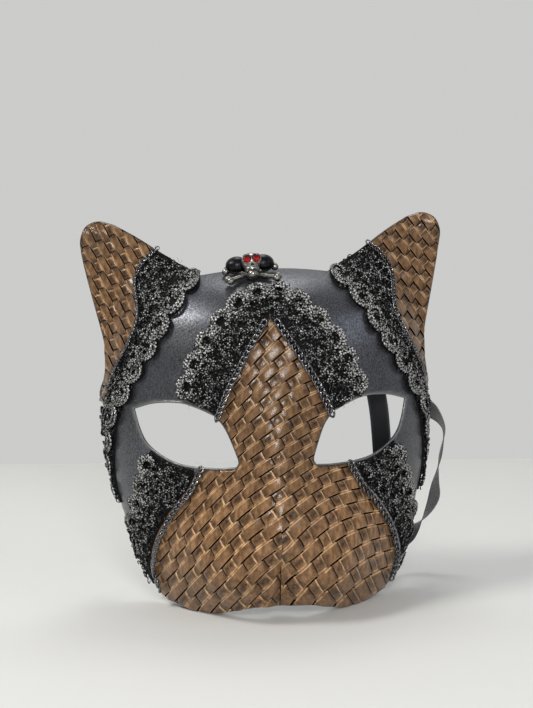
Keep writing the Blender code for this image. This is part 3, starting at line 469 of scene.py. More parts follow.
def run_along(line):
    """The length run along a line at each of its points."""
    return np.concatenate([[0.0], np.cumsum(np.linalg.norm(np.diff(line, axis=0), axis=1))])


def spaced(line, count, size=None):
    """That many points, evenly spaced along a line, whose first size columns are the places."""
    run = run_along(line[:, :size])
    at = np.linspace(0.0, run[-1], count)
    return np.stack([np.interp(at, run, line[:, k]) for k in range(line.shape[1])], -1)


def length_of(line):
    """The whole length of a line."""
    return np.linalg.norm(np.diff(line, axis=0), axis=1).sum()


def unit(vectors):
    """Vectors of length 1 in the same directions."""
    return vectors / np.linalg.norm(vectors, axis=-1, keepdims=True)


def left_of(line):
    """Unit directions square to a flat line, to the left of its run."""
    along = np.gradient(line, axis=0)
    return unit(np.stack([-along[:, 1], along[:, 0]], -1))


def scalloped(points, count):
    """A lace edge with that many round scallops to the left of its run."""
    line = spaced(curve_through(points), SCALLOP_POINTS * count + 1)
    swing = np.abs(np.sin(np.linspace(0.0, math.pi * count, len(line)))) ** SCALLOP_ROUNDNESS
    swing = (SCALLOP_DEPTH + SCALLOP_VALLEY) * swing - SCALLOP_VALLEY
    return line + left_of(line) * swing[:, None]


def inset(points, distance):
    """A smooth run moved to the left of its own direction."""
    line = curve_through(points)
    return line + left_of(line) * distance


def mirrored(half):
    """A whole outline from its right half, which starts and ends on the middle plane."""
    other = half[::-1] * np.array([-1.0, 1.0])
    return np.concatenate([half, other[1:-1]])


def inside_outline(points, edge):
    """Which flat points lie inside a closed outline."""
    x, z = points.T
    inside = np.zeros(len(points), bool)
    for (ax, az), (bx, bz) in zip(edge, np.roll(edge, -1, axis=0)):
        if az != bz:
            inside ^= ((az > z) != (bz > z)) & (x < ax + (z - az) * (bx - ax) / (bz - az))
    return inside


def edge_distance(points, edge):
    """Distance of flat points from a closed outline."""
    found = np.full(len(points), np.inf)
    for a, b in zip(edge, np.roll(edge, -1, axis=0)):
        run = b - a
        share = np.clip(((points - a) @ run) / max(run @ run, 1e-12), 0.0, 1.0)
        found = np.minimum(found, np.linalg.norm(points - a - share[:, None] * run, axis=1))
    return found


def subdivided(edge, spacing):
    """A closed outline with points at most the spacing apart."""
    found = []
    for a, b in zip(edge, np.roll(edge, -1, axis=0)):
        count = max(1, math.ceil(np.linalg.norm(b - a) / spacing))
        found.extend(a + (b - a) * k / count for k in range(count))
    return np.array(found)


def filled(edge, spacing):
    """Points and triangles that fill an outline in front view, closer in x where the dome turns sideways."""
    edge = subdivided(edge, spacing)
    low, high = edge.min(0), edge.max(0)
    round_x = DOME_HALF * np.sin(np.arange(-math.pi / 2, math.pi / 2, spacing / DOME_HALF))
    beyond = np.arange(DOME_HALF, GRID_HALF_WIDTH, spacing)
    columns = np.concatenate([-beyond[::-1], round_x, beyond])
    columns = columns[(columns > low[0]) & (columns < high[0])]
    x, z = np.meshgrid(columns, np.arange(low[1], high[1], spacing))
    inner = np.stack([x.ravel(), z.ravel()], -1)
    inner = inner[inside_outline(inner, edge)]
    inner = inner[edge_distance(inner, edge) > spacing / FILL_MARGIN]
    loop = [(k, (k + 1) % len(edge)) for k in range(len(edge))]
    points = [Vector(p) for p in np.concatenate([edge, inner])]
    found = delaunay_2d_cdt(points, loop, [], 1, FILL_TOLERANCE)
    return np.array([p[:] for p in found[0]]), np.array(found[2])


def open_edges(faces):
    """Edges of a mesh that only one triangle uses, in its direction."""
    pairs = np.concatenate([faces[:, [0, 1]], faces[:, [1, 2]], faces[:, [2, 0]]])
    _, where, times = np.unique(np.sort(pairs, axis=1), axis=0, return_index=True, return_counts=True)
    return pairs[where[times == 1]]


def skirted(flat, faces, top):
    """A layer's points and faces, with a skirt from its edge down to the shell, and the edge's points."""
    pairs = open_edges(faces)
    used = np.unique(pairs)
    lower = dict(zip(used.tolist(), range(len(flat), len(flat) + len(used))))
    foot = on_mask(*flat[used].T, 0.0)
    skirt = [[b, a, lower[a], lower[b]] for a, b in pairs.tolist()]
    return np.concatenate([top, foot]), [*faces.tolist(), *skirt], used


def without_loose(flat, faces):
    """The points that the triangles use, and the triangles by their new numbers."""
    used, numbers = np.unique(faces, return_inverse=True)
    return flat[used], numbers.reshape(faces.shape)


def piece(name, vertices, faces, material, slot, nodes=()):
    """A smooth mesh piece that rides on the mask and stands for the nodes."""
    mesh = bpy.data.meshes.new(name)
    mesh.from_pydata(np.asarray(vertices).tolist(), [], [[int(k) for k in face] for face in faces])
    return finished(name, mesh, material, nodes)


def finished(name, mesh, material, nodes=()):
    """A smooth piece from a mesh, which rides on the mask and stands for the nodes."""
    mesh.shade_smooth()
    mesh.materials.clear()
    mesh.materials.append(material)
    thing = linked(bpy.data.objects.new(name, mesh))
    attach(thing, "root")
    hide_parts(*nodes)
    return thing


def paint(thing, **values):
    """Named numbers for each point of a mesh, which its material reads."""
    for name, numbers in values.items():
        attribute = thing.data.attributes.new(name, "FLOAT", "POINT")
        attribute.data.foreach_set("value", np.asarray(numbers, np.float32))


def tubes(paths, ups, radius, sides):
    """Vertices and faces of open tubes along paths of equal point counts, with their upward directions."""
    count, points, _ = paths.shape
    along = unit(np.gradient(paths, axis=1))
    across = unit(np.cross(along, ups))
    up = np.cross(across, along)
    turn = np.arange(sides) * 2 * math.pi / sides
    ring = across[:, :, None] * np.cos(turn)[:, None] + up[:, :, None] * np.sin(turn)[:, None]
    vertices = paths[:, :, None] + ring * np.broadcast_to(radius, (count, points))[:, :, None, None]
    index = np.arange(count * points * sides).reshape(count, points, sides)
    following = np.roll(index, -1, axis=2)
    faces = np.stack([index[:, :-1], following[:, :-1], following[:, 1:], index[:, 1:]], -1)
    return vertices.reshape(-1, 3), faces.reshape(-1, 4)


def joined(*parts):
    """One set of vertices and faces from several."""
    vertices, faces, start = [], [], 0
    for points, polygons in parts:
        vertices.append(points)
        faces.extend([k + start for k in polygon] for polygon in polygons)
        start += len(points)
    return np.concatenate(vertices), faces


def add(tree, kind, inputs=None, **settings):
    """A node with its settings; an input is a value or another node's output."""
    node = tree.nodes.new("ShaderNode" + kind)
    for name, value in settings.items():
        setattr(node, name, value)
    for name, value in (inputs or {}).items():
        if isinstance(value, bpy.types.NodeSocket):
            tree.links.new(value, node.inputs[name])
        else:
            node.inputs[name].default_value = value
    return node


def ramp(tree, value, *stops):
    """Colours along a value, from (place, colour) stops."""
    node = add(tree, "ValToRGB", {"Fac": value})
    elements = node.color_ramp.elements
    while len(elements) < len(stops):
        elements.new(0.5)
    for element, (place, colour) in zip(elements, stops):
        element.position = place
        element.color = (*colour, 1.0)
    return node.outputs["Color"]


def grey(*levels):
    """Stops of a ramp in grey, from (place, level) pairs."""
    return [(place, (level,) * 3) for place, level in levels]


def value_of(tree, name):
    """A number that was painted on the points of a mesh."""
    return add(tree, "Attribute", attribute_name=name).outputs["Fac"]


def noise(tree, scale, detail=3.0, stretch=None):
    """Noise in the mask's own frame, with that many features to the metre."""
    place = add(tree, "TexCoord").outputs["Object"]
    if stretch:
        place = add(tree, "Mapping", {"Vector": place, "Scale": stretch}).outputs["Vector"]
    return add(tree, "TexNoise", {"Vector": place, "Scale": scale, "Detail": detail}).outputs["Fac"]


class Field:
    """A number at each point of a surface, worked out by nodes."""

    def __init__(self, tree, socket):
        self.tree = tree
        self.socket = socket

    def math(self, operation, other=0.0):
        """The number after an operation, with another number where it takes two."""
        other = other.socket if isinstance(other, Field) else other
        node = add(self.tree, "Math", {0: self.socket, 1: other}, operation=operation)
        return Field(self.tree, node.outputs["Value"])

    def __add__(self, other):
        return self.math("ADD", other)

    def __sub__(self, other):
        return self.math("SUBTRACT", other)

    def __rsub__(self, other):
        return self.math("MULTIPLY", -1.0) + other

    def __mul__(self, other):
        return self.math("MULTIPLY", other)

    def within(self, spread):
        """1 where the number is 0, falling smoothly to 0 at a spread on both sides."""
        return self.below(0.0, spread) * (self * -1.0).below(0.0, spread)

    def below(self, limit, spread):
        """1 below a limit, falling smoothly to 0 at a spread beyond it."""
        span = {"From Min": limit, "From Max": limit + spread, "To Min": 1.0, "To Max": 0.0}
        step = add(self.tree, "MapRange", {"Value": self.socket, **span}, interpolation_type="SMOOTHSTEP")
        return Field(self.tree, step.outputs["Result"])


def mixed(tree, share, first, second, kind="MIX"):
    """Two colours mixed, or the second's effect on the first, by a share of the second."""
    second = second if isinstance(second, bpy.types.NodeSocket) else rgb(*second)
    inputs = {"Fac": share, "Color1": first, "Color2": second}
    return add(tree, "MixRGB", inputs, blend_type=kind).outputs["Color"]


def maths(tree, operation, first, second):
    """Two numbers put together, kept between 0 and 1."""
    return add(tree, "Math", {0: first, 1: second}, operation=operation, use_clamp=True).outputs["Value"]


def bumped(tree, height, distance):
    """Normals of a fine relief, as high as the distance."""
    return add(tree, "Bump", {"Height": height, "Distance": distance}).outputs["Normal"]


def new_material(name, **constants):
    """A material, its node tree and its shader, with the shader's constant inputs set."""
    material = bpy.data.materials.new(name)
    material.use_nodes = True
    shader = material.node_tree.nodes["Principled BSDF"]
    for key, value in constants.items():
        shader.inputs[key.replace("_", " ")].default_value = value
    return material, material.node_tree, shader


def wire(tree, shader, **outputs):
    """Links from nodes to the shader's inputs."""
    for key, output in outputs.items():
        tree.links.new(output, shader.inputs[key.replace("_", " ")])


def rgb(r, g, b):
    """A colour as a node takes it."""
    return (r, g, b, 1.0)


def shell_material():
    """Black paint, dry-brushed with silver and fine blue flakes."""
    material, tree, shader = new_material("shell_paint", Metallic=0.80)
    strokes = noise(tree, scale=1500, detail=5.0, stretch=(1.0, 1.0, 0.6))
    brushed = ramp(tree, strokes, *grey((0.35, 0.0), (0.72, 1.0)))
    flakes = ramp(tree, noise(tree, scale=4200, detail=1.0), *grey((0.56, 0.0), (0.70, 1.0)))
    colour = ramp(tree, noise(tree, scale=48), (0.35, SHELL_BLACK), (0.65, SHELL_BLUE))
    colour = mixed(tree, maths(tree, "MULTIPLY", brushed, SILVER_SHARE), colour, SHELL_SILVER)
    colour = mixed(tree, maths(tree, "MULTIPLY", flakes, FLAKE_SHARE), colour, SHELL_FLAKES)
    colour = mixed(tree, value_of(tree, "worn"), colour, SHELL_WORN)
    rough = ramp(tree, brushed, *grey((0.0, 0.40), (1.0, 0.29)))
    wire(tree, shader, Base_Color=colour, Roughness=rough, Normal=bumped(tree, brushed, BRUSH_HEIGHT))
    return material


def lining_material():
    """Matt black inside of the shell, with the trace of its brush."""
    material, tree, shader = new_material("shell_lining")
    strokes = noise(tree, scale=260, detail=5.0, stretch=(1.0, 1.0, 0.2))
    colour = ramp(tree, strokes, (0.3, LINING_DARK), (0.7, LINING_PALE))
    rough = ramp(tree, strokes, *grey((0.2, 0.75), (0.8, 0.55)))
    wire(tree, shader, Base_Color=colour, Roughness=rough, Normal=bumped(tree, strokes, LINING_HEIGHT))
    return material


def leather_slits(tree, down, along, from_middle):
    """1 in the gaps between the strips and in the seam of the muzzle."""
    slit = (down - SLIT_DOWN).math("ABSOLUTE").below(*SLIT_DEEP)
    slit = slit * along.math("ABSOLUTE").below(SLIT_HALF, SLIT_FADE)
    below = (1.0 - down).below(*UNDER_DEEP) * (0.5 - from_middle).below(SLIT_HALF, SLIT_FADE)
    cross = (along - SQUARE_LEFT).math("ABSOLUTE").below(*CROSS_WIDE) * down.below(*CROSS_LONG)
    slit = slit.math("MAXIMUM", below).math("MAXIMUM", cross * CROSS_DARK)
    return slit.math("MAXIMUM", value_of(tree, "seam"))


def leather_tan_edges(tree, down, along, square):
    """How far the strips' raised edges turn tan: at the foot and right side of a square, along the top of a
    brick and faintly along its foot, broken up by noise.
    """
    square_side = (along - SQUARE_RIGHT + SQUARE_TAN_IN).within(SQUARE_TAN_WIDE)
    square_tan = (down - SQUARE_TAN_DOWN).within(SQUARE_TAN_DEEP).math("MAXIMUM", square_side)
    brick_foot = (down - BRICK_FOOT_DOWN).within(BRICK_FOOT_DEEP) * BRICK_FOOT_TAN
    brick_tan = (down - BRICK_TAN_DOWN).within(BRICK_TAN_DEEP).math("MAXIMUM", brick_foot)
    tan_breaks = Field(tree, ramp(tree, noise(tree, scale=330, detail=4.0), *grey((0.36, 0.05), (0.64, 1.0))))
    return (square * square_tan).math("MAXIMUM", (1.0 - square) * brick_tan) * tan_breaks * TAN_SHARE


def leather_shade_and_tone(tree, down, from_middle, square, cell):
    """Painted shade in the middle of each square and at the ends of each brick, where it passes under the
    squares, broken up by noise, and a darker tone by chance from cell to cell.
    """
    chance = cell.math("SINE") * CHANCE_SPREAD
    chance = chance - chance.math("FLOOR")
    square_shade = (down - SQUARE_SHADE_DOWN).within(SQUARE_SHADE_DEEP) * from_middle.below(*SQUARE_SHADE_WIDE)
    brick_shade = (from_middle - SQUARE_HALF).below(*BRICK_SHADE_WIDE) * BRICK_END_SHADE
    patches = Field(tree, ramp(tree, noise(tree, scale=900, detail=4.0), *grey((0.30, 0.35), (0.65, 1.0))))
    return (square * square_shade + (1.0 - square) * brick_shade) * patches * CELL_SHADE_SHARE + chance * CELL_DIM


def leather_material():
    """Brown leather: streaked cells with painted shade, tan along some raised edges, nearly black in the
    slits, and painted shade over the forehead and ears and along the panel's edge.
    """
    material, tree, shader = new_material("woven_leather", Coat_Roughness=0.13)
    line = Field(tree, value_of(tree, "line"))
    row = line.math("FLOOR")
    down = line - row
    along = Field(tree, value_of(tree, "repeats")) - row * 0.5
    repeat = along.math("ROUND")
    along = along - repeat
    from_middle = (along - SQUARE_MIDDLE).math("ABSOLUTE")
    square = from_middle.math("LESS_THAN", SQUARE_HALF)
    slit = leather_slits(tree, down, along, from_middle)
    tan_edge = leather_tan_edges(tree, down, along, square)
    cell = row * ROW_STEP + repeat * REPEAT_STEP + square * SQUARE_STEP
    shade_and_tone = leather_shade_and_tone(tree, down, from_middle, square, cell)
    streaks = noise(tree, scale=520, detail=6.0, stretch=(1.0, 1.0, 0.5))
    grain = noise(tree, scale=2400, detail=4.0)
    pores = ramp(tree, grain, *grey((0.30, 0.45), (0.70, 1.0)))
    colour = mixed(tree, PORE_SHARE, ramp(tree, streaks, *LEATHER_BROWNS), pores, "MULTIPLY")
    # Painted shade in the squares' middles and the bricks' ends, and a darker tone by chance from cell to
    # cell
    colour = mixed(tree, shade_and_tone.socket, colour, LEATHER_SHADE_AND_TONE)
    colour = mixed(tree, tan_edge.socket, colour, LEATHER_TAN_EDGE)
    # Painted shade: darker from the middle of the eyes upwards, over the forehead and the ears, fading out
    # below the eyes
    place = add(tree, "SeparateXYZ", {"Vector": add(tree, "NewGeometry").outputs["Position"]})
    depth = Field(tree, place.outputs["Z"]) * -HIGH_SHADE_SCALE
    colour = mixed(tree, 1.0, colour, ramp(tree, depth.socket, *grey(*HIGH_SHADE_LEVELS)), "MULTIPLY")
    colour = mixed(tree, slit.socket, colour, LEATHER_SLIT)
    # Painted shade along the panel's edge and on its turned-down side
    colour = mixed(tree, value_of(tree, "edge"), colour, LEATHER_EDGE_SHADE)
    rough = ramp(tree, streaks, *grey((0.25, 0.34), (0.75, 0.52)))
    relief = Field(tree, grain) * PORE_RELIEF + Field(tree, streaks) * STREAK_RELIEF
    relief = relief + tan_edge * TAN_RELIEF - slit * SLIT_RELIEF
    normal = bumped(tree, relief.socket, GRAIN_HEIGHT)
    bare = 1.0 - slit
    wire(tree, shader, Base_Color=colour, Roughness=rough, Normal=normal, Coat_Normal=normal,
         Coat_Weight=(bare * LEATHER_COAT).socket, Specular_IOR_Level=(bare * LEATHER_SHINE).socket)
    return material


def yarn_material():
    """Black yarn with silver threads twisted into it."""
    material, tree, shader = new_material("lace_yarn", Specular_IOR_Level=0.15)
    # The twist value carries the silver thread, and on the cords painted highlight on top and painted shade
    # underneath
    thread = ramp(tree, value_of(tree, "twist"), *grey((0.58, 0.0), (0.76, 1.0)))
    flecks = ramp(tree, noise(tree, scale=900, detail=2.0), *grey((0.40, 0.05), (0.62, 1.0)))
    shine = maths(tree, "MULTIPLY", thread, flecks)
    body = ramp(tree, noise(tree, scale=700), (0.3, YARN_BLACK), (0.7, YARN_GREY))
    metal = maths(tree, "MULTIPLY", shine, YARN_METAL)
    rough = ramp(tree, shine, *grey((0.0, 0.65), (1.0, 0.32)))
    wire(tree, shader, Base_Color=mixed(tree, shine, body, YARN_SILVER), Metallic=metal, Roughness=rough)
    return material


def metal_material(name, dark, pale, low, high):
    """Cast or drawn metal: darker and duller in its stains, nearly black where it is tarnished."""
    material, tree, shader = new_material(name, Metallic=1.0)
    stains = noise(tree, scale=700, detail=4.0)
    colour = mixed(tree, value_of(tree, "tarnish"), ramp(tree, stains, (0.35, dark), (0.65, pale)), TARNISH)
    rough = ramp(tree, stains, *grey((0.3, high), (0.7, low)))
    dents = bumped(tree, noise(tree, scale=2600, detail=2.0), METAL_DENTS)
    wire(tree, shader, Base_Color=colour, Roughness=rough, Normal=dents)
    return material


def stone_material():
    """Red glass with painted light, brightest at its lower side where light comes out of it, and painted
    shade that makes its facets paler and deeper by the way they face.
    """
    material, tree, shader = new_material("red_stone", Roughness=0.18, Specular_IOR_Level=0.12)
    colour = ramp(tree, value_of(tree, "glow"), *STONE_REDS)
    facing = add(tree, "NewGeometry").outputs["Normal"]
    sideways = add(tree, "SeparateXYZ", {"Vector": facing}).outputs["X"]
    # Painted shade: facets paler and deeper by the way they face sideways
    facet_shade = ramp(tree, sideways, *grey((0.05, 0.35), (0.30, 1.0), (0.55, 0.5)))
    wire(tree, shader, Base_Color=mixed(tree, 1.0, colour, facet_shade, "MULTIPLY"))
    return material


def satin_material():
    """Black satin: fine threads along the ribbon and a soft sheen."""
    material, tree, shader = new_material("black_satin", Sheen_Weight=0.15, Sheen_Roughness=0.4)
    place = add(tree, "UVMap").outputs["UV"]
    waves = {"Vector": place, "Scale": SATIN_THREADS, "Distortion": SATIN_WAVER}
    threads = add(tree, "TexWave", waves, bands_direction="X").outputs["Fac"]
    colour = ramp(tree, threads, (0.2, SATIN_DARK), (0.8, SATIN_PALE))
    colour = mixed(tree, value_of(tree, "selvedge"), colour, SATIN_SELVEDGE)
    rough = ramp(tree, threads, *grey((0.2, 0.42), (0.8, 0.30)))
    wire(tree, shader, Base_Color=colour, Roughness=rough, Normal=bumped(tree, threads, SATIN_HEIGHT))
    return material


def stage_material(name, colour, shown=None):
    """Matt paint; a shown colour is what the camera and reflections see, whatever light falls there."""
    material, tree, shader = new_material(name, Roughness=0.8)
    shaded = tuple(STAGE_SHADE * c for c in colour)
    clouds = noise(tree, scale=3.0, detail=2.0)
    wire(tree, shader, Base_Color=ramp(tree, clouds, (0.3, shaded), (0.7, colour)))
    if shown:
        path = add(tree, "LightPath").outputs
        seen = maths(tree, "ADD", path["Is Camera Ray"], path["Is Glossy Ray"])
        seen = maths(tree, "ADD", seen, path["Is Transmission Ray"])
        glow = add(tree, "Emission", {"Color": rgb(*shown)}).outputs["Emission"]
        both = add(tree, "MixShader", {0: seen, 1: shader.outputs["BSDF"], 2: glow}).outputs["Shader"]
        tree.links.new(both, tree.nodes["Material Output"].inputs["Surface"])
    return material


def linked(thing):
    """The object, put into the scene."""
    bpy.context.scene.collection.objects.link(thing)
    return thing


def mesh_of(solid, name):
    """A named mesh from a bmesh, which is freed."""
    mesh = bpy.data.meshes.new(name)
    solid.to_mesh(mesh)
    solid.free()
    return mesh


def make_camera():
    """The camera that was fitted to the photo."""
    across = Vector((math.cos(CAMERA_AZIMUTH), math.sin(CAMERA_AZIMUTH), 0.0))
    back = Vector((math.sin(CAMERA_AZIMUTH) * math.cos(CAMERA_ELEVATION),
                   -math.cos(CAMERA_AZIMUTH) * math.cos(CAMERA_ELEVATION), math.sin(CAMERA_ELEVATION)))
    turn = Matrix((across, back.cross(across), back)).transposed() @ Matrix.Rotation(CAMERA_ROLL, 3, "Z")
    data = bpy.data.cameras.new("camera")
    data.lens = CAMERA_LENS
    camera = linked(bpy.data.objects.new("camera", data))
    camera.matrix_world = Matrix.Translation(Vector(CAMERA_TARGET) + CAMERA_DISTANCE * back) @ turn.to_4x4()
    bpy.context.scene.camera = camera


def make_lamp(name, place, size, watts, colour):
    """A square lamp that shines on the mask."""
    data = bpy.data.lights.new(name, "AREA")
    data.size = size
    data.energy = watts
    data.color = colour
    lamp = linked(bpy.data.objects.new(name, data))
    lamp.location = place
    lamp.visible_glossy = name not in NO_GLINT
    lamp.rotation_euler = (Vector(LAMP_AIM) - Vector(place)).to_track_quat("-Z", "Y").to_euler()


def make_stage():
    """Pale floor and wall, soft lamps and an even sky."""
    sheets = {
        "floor": ((0.0, FLOOR_MIDDLE, FLOOR_HEIGHT), (0.0, 0.0, 0.0), stage_material("floor", FLOOR_COLOUR)),
        "wall": ((0.0, WALL_BEHIND, WALL_MIDDLE), (math.pi / 2, 0.0, WALL_TURN),
                 stage_material("wall", WALL_COLOUR, WALL_COLOUR)),
    }
    for name, (place, turn, material) in sheets.items():
        solid = bmesh.new()
        bmesh.ops.create_grid(solid, x_segments=SHEET_SEGMENTS, y_segments=SHEET_SEGMENTS, size=SHEET_HALF)
        sheet = linked(bpy.data.objects.new(name, mesh_of(solid, name)))
        sheet.data.materials.append(material)
        sheet.location = place
        sheet.rotation_euler = turn
    for name, lamp in LAMPS.items():
        make_lamp(name, *lamp)
    world = bpy.data.worlds.new("sky")
    world.use_nodes = True
    sky = world.node_tree.nodes["Background"]
    sky.inputs["Color"].default_value = rgb(*SKY_COLOUR)
    sky.inputs["Strength"].default_value = SKY_STRENGTH
    bpy.context.scene.world = world
    bpy.context.scene.view_settings.view_transform = "Standard"


def make_ribbon(material):
    """A satin band along its route, twisting as the directions across it turn."""
    line = curve_through([place for place, _ in RIBBON_ROUTE], RIBBON_STEPS)
    turn = curve_through([across for _, across in RIBBON_ROUTE], RIBBON_STEPS)
    band = spaced(np.concatenate([line, turn], axis=1), RIBBON_STATIONS, 3)
    line, turn = band[:, :3], band[:, 3:]
    along = unit(np.gradient(line, axis=0))
    turn = unit(turn - (turn * along).sum(1, keepdims=True) * along)
    out = np.cross(along, turn)
    shares = np.linspace(-1.0, 1.0, RIBBON_ACROSS)
    edge = np.sqrt(np.clip(RIBBON_EDGE - shares**RIBBON_EDGE_POWER, 0.0, 1.0))
    rows = []
    for face in (1, -1):
        height = face * RIBBON_THICKNESS / 2 * edge + RIBBON_CUP * shares**2
        sideways = shares * face * RIBBON_WIDTH / 2
        rows.append(line[:, None] + turn[:, None] * sideways[:, None] + out[:, None] * height[:, None])
    vertices = np.concatenate(rows, axis=1)
    count = vertices.shape[1]
    index = np.arange(len(line) * count).reshape(len(line), count)
    following = np.roll(index, -1, axis=1)
    faces = np.stack([index[:-1], following[:-1], following[1:], index[1:]], -1).reshape(-1, 4)
    faces = [*faces, index[0][::-1], index[-1]]
    ribbon = piece("satin_ribbon", vertices.reshape(-1, 3), faces, material, "black_satin", ["tie_ribbon"])
    across = np.concatenate([shares, shares[::-1]])
    paint(ribbon, selvedge=np.tile(ease(np.abs(across), SELVEDGE_FROM, 1.0), len(line)))
    cover = ribbon.data.uv_layers.new(name="UVMap")
    flat = np.stack([np.tile(across, len(line)), np.repeat(run_along(line) / RIBBON_WIDTH, count)], -1)
    loops = np.zeros(len(ribbon.data.loops), np.int32)
    ribbon.data.loops.foreach_get("vertex_index", loops)
    cover.data.foreach_set("uv", flat[loops].astype(np.float32).ravel())


def extruded(name, points, depth, place):
    """A cutter with a flat outline, extruded evenly to both sides and then put in place."""
    curve = bpy.data.curves.new(name, "CURVE")
    curve.dimensions = "2D"
    curve.fill_mode = "BOTH"
    curve.extrude = depth / 2
    spline = curve.splines.new("POLY")
    spline.points.add(len(points) - 1)
    for point, (u, v) in zip(spline.points, points):
        point.co = (u, v, 0.0, 1.0)
    spline.use_cyclic_u = True
    mesh = applied(linked(bpy.data.objects.new(name, curve)))
    mesh.transform(place)
    solid = bmesh.new()
    solid.from_mesh(mesh)
    bmesh.ops.remove_doubles(solid, verts=solid.verts, dist=MERGE_DISTANCE)
    bmesh.ops.recalc_face_normals(solid, faces=solid.faces)
    solid.to_mesh(mesh)
    solid.free()
    return linked(bpy.data.objects.new(name, mesh))


def prism(name, points, side=1):
    """A cutter with this outline in front view, from far in front of the mask to the rim plane."""
    place = Matrix.Translation((0.0, CUTTER_FRONT / 2, 0.0)) @ Matrix.Rotation(math.pi / 2, 4, "X")
    return extruded(name, [(side * x, z) for x, z in points], -CUTTER_FRONT, place)


def jaw_cutter(name):
    """A cutter behind the jaw's rim."""
    corner = (JAW_RIM[0][0], JAW_RIM[-1][1])
    sideways = Matrix.Rotation(math.pi / 2, 4, "Z") @ Matrix.Rotation(math.pi / 2, 4, "X")
    return extruded(name, [*curve_through(JAW_RIM), corner], 2 * GRID_HALF_WIDTH, sideways)


def applied(thing, *cutters):
    """The mesh that an object's modifiers make; the object and its cutters are removed."""
    mesh = bpy.data.meshes.new_from_object(thing.evaluated_get(bpy.context.evaluated_depsgraph_get()))
    for done in (thing, *cutters):
        bpy.data.objects.remove(done, do_unlink=True)
    return mesh


def cut(thing, operation, cutter):
    """A boolean of an object with a cutter, which stays a modifier."""
    boolean = thing.modifiers.new(operation.lower(), "BOOLEAN")
    boolean.operation = operation
    boolean.object = cutter


def moulded(name, lift, thickness, keep, remove=()):
    """The mesh of a layer that follows the mask inwards from a lift, cut to an outline."""
    solid = bmesh.new()
    bmesh.ops.create_grid(solid, x_segments=COLUMNS, y_segments=ROWS, size=1.0)
    flat = np.array([vertex.co[:2] for vertex in solid.verts])
    x = GRID_HALF_WIDTH * np.sin(flat[:, 0] * GRID_TURN) / math.sin(GRID_TURN)
    z = GRID_BOTTOM + (flat[:, 1] + 1) / 2 * (GRID_TOP - GRID_BOTTOM)
    for vertex, place in zip(solid.verts, on_mask(x, z, lift)):
        vertex.co = place
    layer = linked(bpy.data.objects.new(name, mesh_of(solid, name)))
    wall = layer.modifiers.new("wall", "SOLIDIFY")
    wall.thickness = thickness
    wall.offset = -1.0
    cut(layer, "INTERSECT", keep)
    for cutter in remove:
        cut(layer, "DIFFERENCE", cutter)
    return applied(layer, keep, *remove)


def eye_outline():
    """The right eye opening in front view."""
    return outline(EYE_TOP, EYE_INNER, EYE_BOTTOM, EYE_OUTER)


def make_shell(paint_material, lining):
    """The moulded shell, its painted outside and its plain inside."""
    half = np.concatenate([
        outline(BROW_EDGE, EAR_INNER_EDGE, EAR_TIP_EDGE, EAR_OUTER_EDGE, TEMPLE_EDGE, JAW_EDGE),
        curve_through(CHIN_EDGE),
    ])
    cutters = [prism(f"eye_{side}", eye_outline(), sign) for side, sign in SIDES.items()]
    cutters.append(jaw_cutter("jaw_rim"))
    mesh = moulded("shell", 0.0, SHELL_WALL, prism("shell_outline", mirrored(half)), cutters)
    shell = finished("moulded_shell", mesh, paint_material, ["mask_shell"])
    mesh.materials.append(lining)
    mesh.set_sharp_from_angle(angle=SHARP_ANGLE)
    points = np.array([vertex.co for vertex in mesh.vertices])
    x, y, z = points.T
    inner = (-y - mask_depth(x, z)) * -mask_normal(x, z)[:, 1] < -SHELL_WALL / 2
    for face in mesh.polygons:
        face.material_index = int(all(inner[k] for k in face.vertices))
    from_eye = edge_distance(np.stack([np.abs(x), z], -1), eye_outline())
    paint(shell, worn=EDGE_WORN * bump(from_eye, 0.0, EDGE_WORN_SPREAD) * ~inner)


def make_eye_rims(material):
    """The rolled edge of each eye opening."""
    edge = subdivided(eye_outline(), RIM_SPACING)
    edge = np.concatenate([edge, edge[:2]])
    for side, sign in SIDES.items():
        x, z = edge.T
        places, outward = on_mask(sign * x, z, RIM_LIFT), mask_normal(sign * x, z)
        vertices, faces = tubes(places[None], outward[None], RIM_RADIUS, RIM_SIDES)
        rim = piece(f"eye_rim_{side}", vertices, faces, material, "black_shell")
        around = vertices.reshape(-1, RIM_SIDES, 3) - places[:, None]
        height = (around * outward[:, None]).sum(-1).ravel()
        paint(rim, worn=RIM_WORN * ease(height, RIM_WORN_FROM, RIM_RADIUS))


def weave_terms(x, z):
    """Terms of the smooth map from places on the face to counts in the weave, split below the nose tip."""
    u = x / WEAVE_SPAN
    v = z / WEAVE_SPAN
    split = np.clip((WEAVE_SPLIT_HEIGHT - z) / WEAVE_SPLIT_SPAN, 0.0, None) * np.sign(x)
    return np.stack([u**0, u, v, u * u, u * v, v * v, u**3, u * u * v, u * v * v, v**3, u * u * v * v,
                     split, split * np.abs(u), split * v, split * u * u], -1)


def face_weave(flat):
    """Counts in the weave at places on the face, from the marks that were found there."""
    marks = np.array(list(WEAVE_MARKS.values())) / 1000
    counts = np.array(list(WEAVE_MARKS), float)
    terms = weave_terms(*marks.T)
    stiff = WEAVE_STIFFNESS * np.eye(terms.shape[1])
    return weave_terms(*flat.T) @ np.linalg.solve(terms.T @ terms + stiff, terms.T @ counts)


def ear_weave(flat, side):
    """Counts in the weave at places on an ear."""
    start, first, second = EAR_WEAVES[side]
    return (flat - np.array(start)) @ np.linalg.inv(np.array([first, second]))


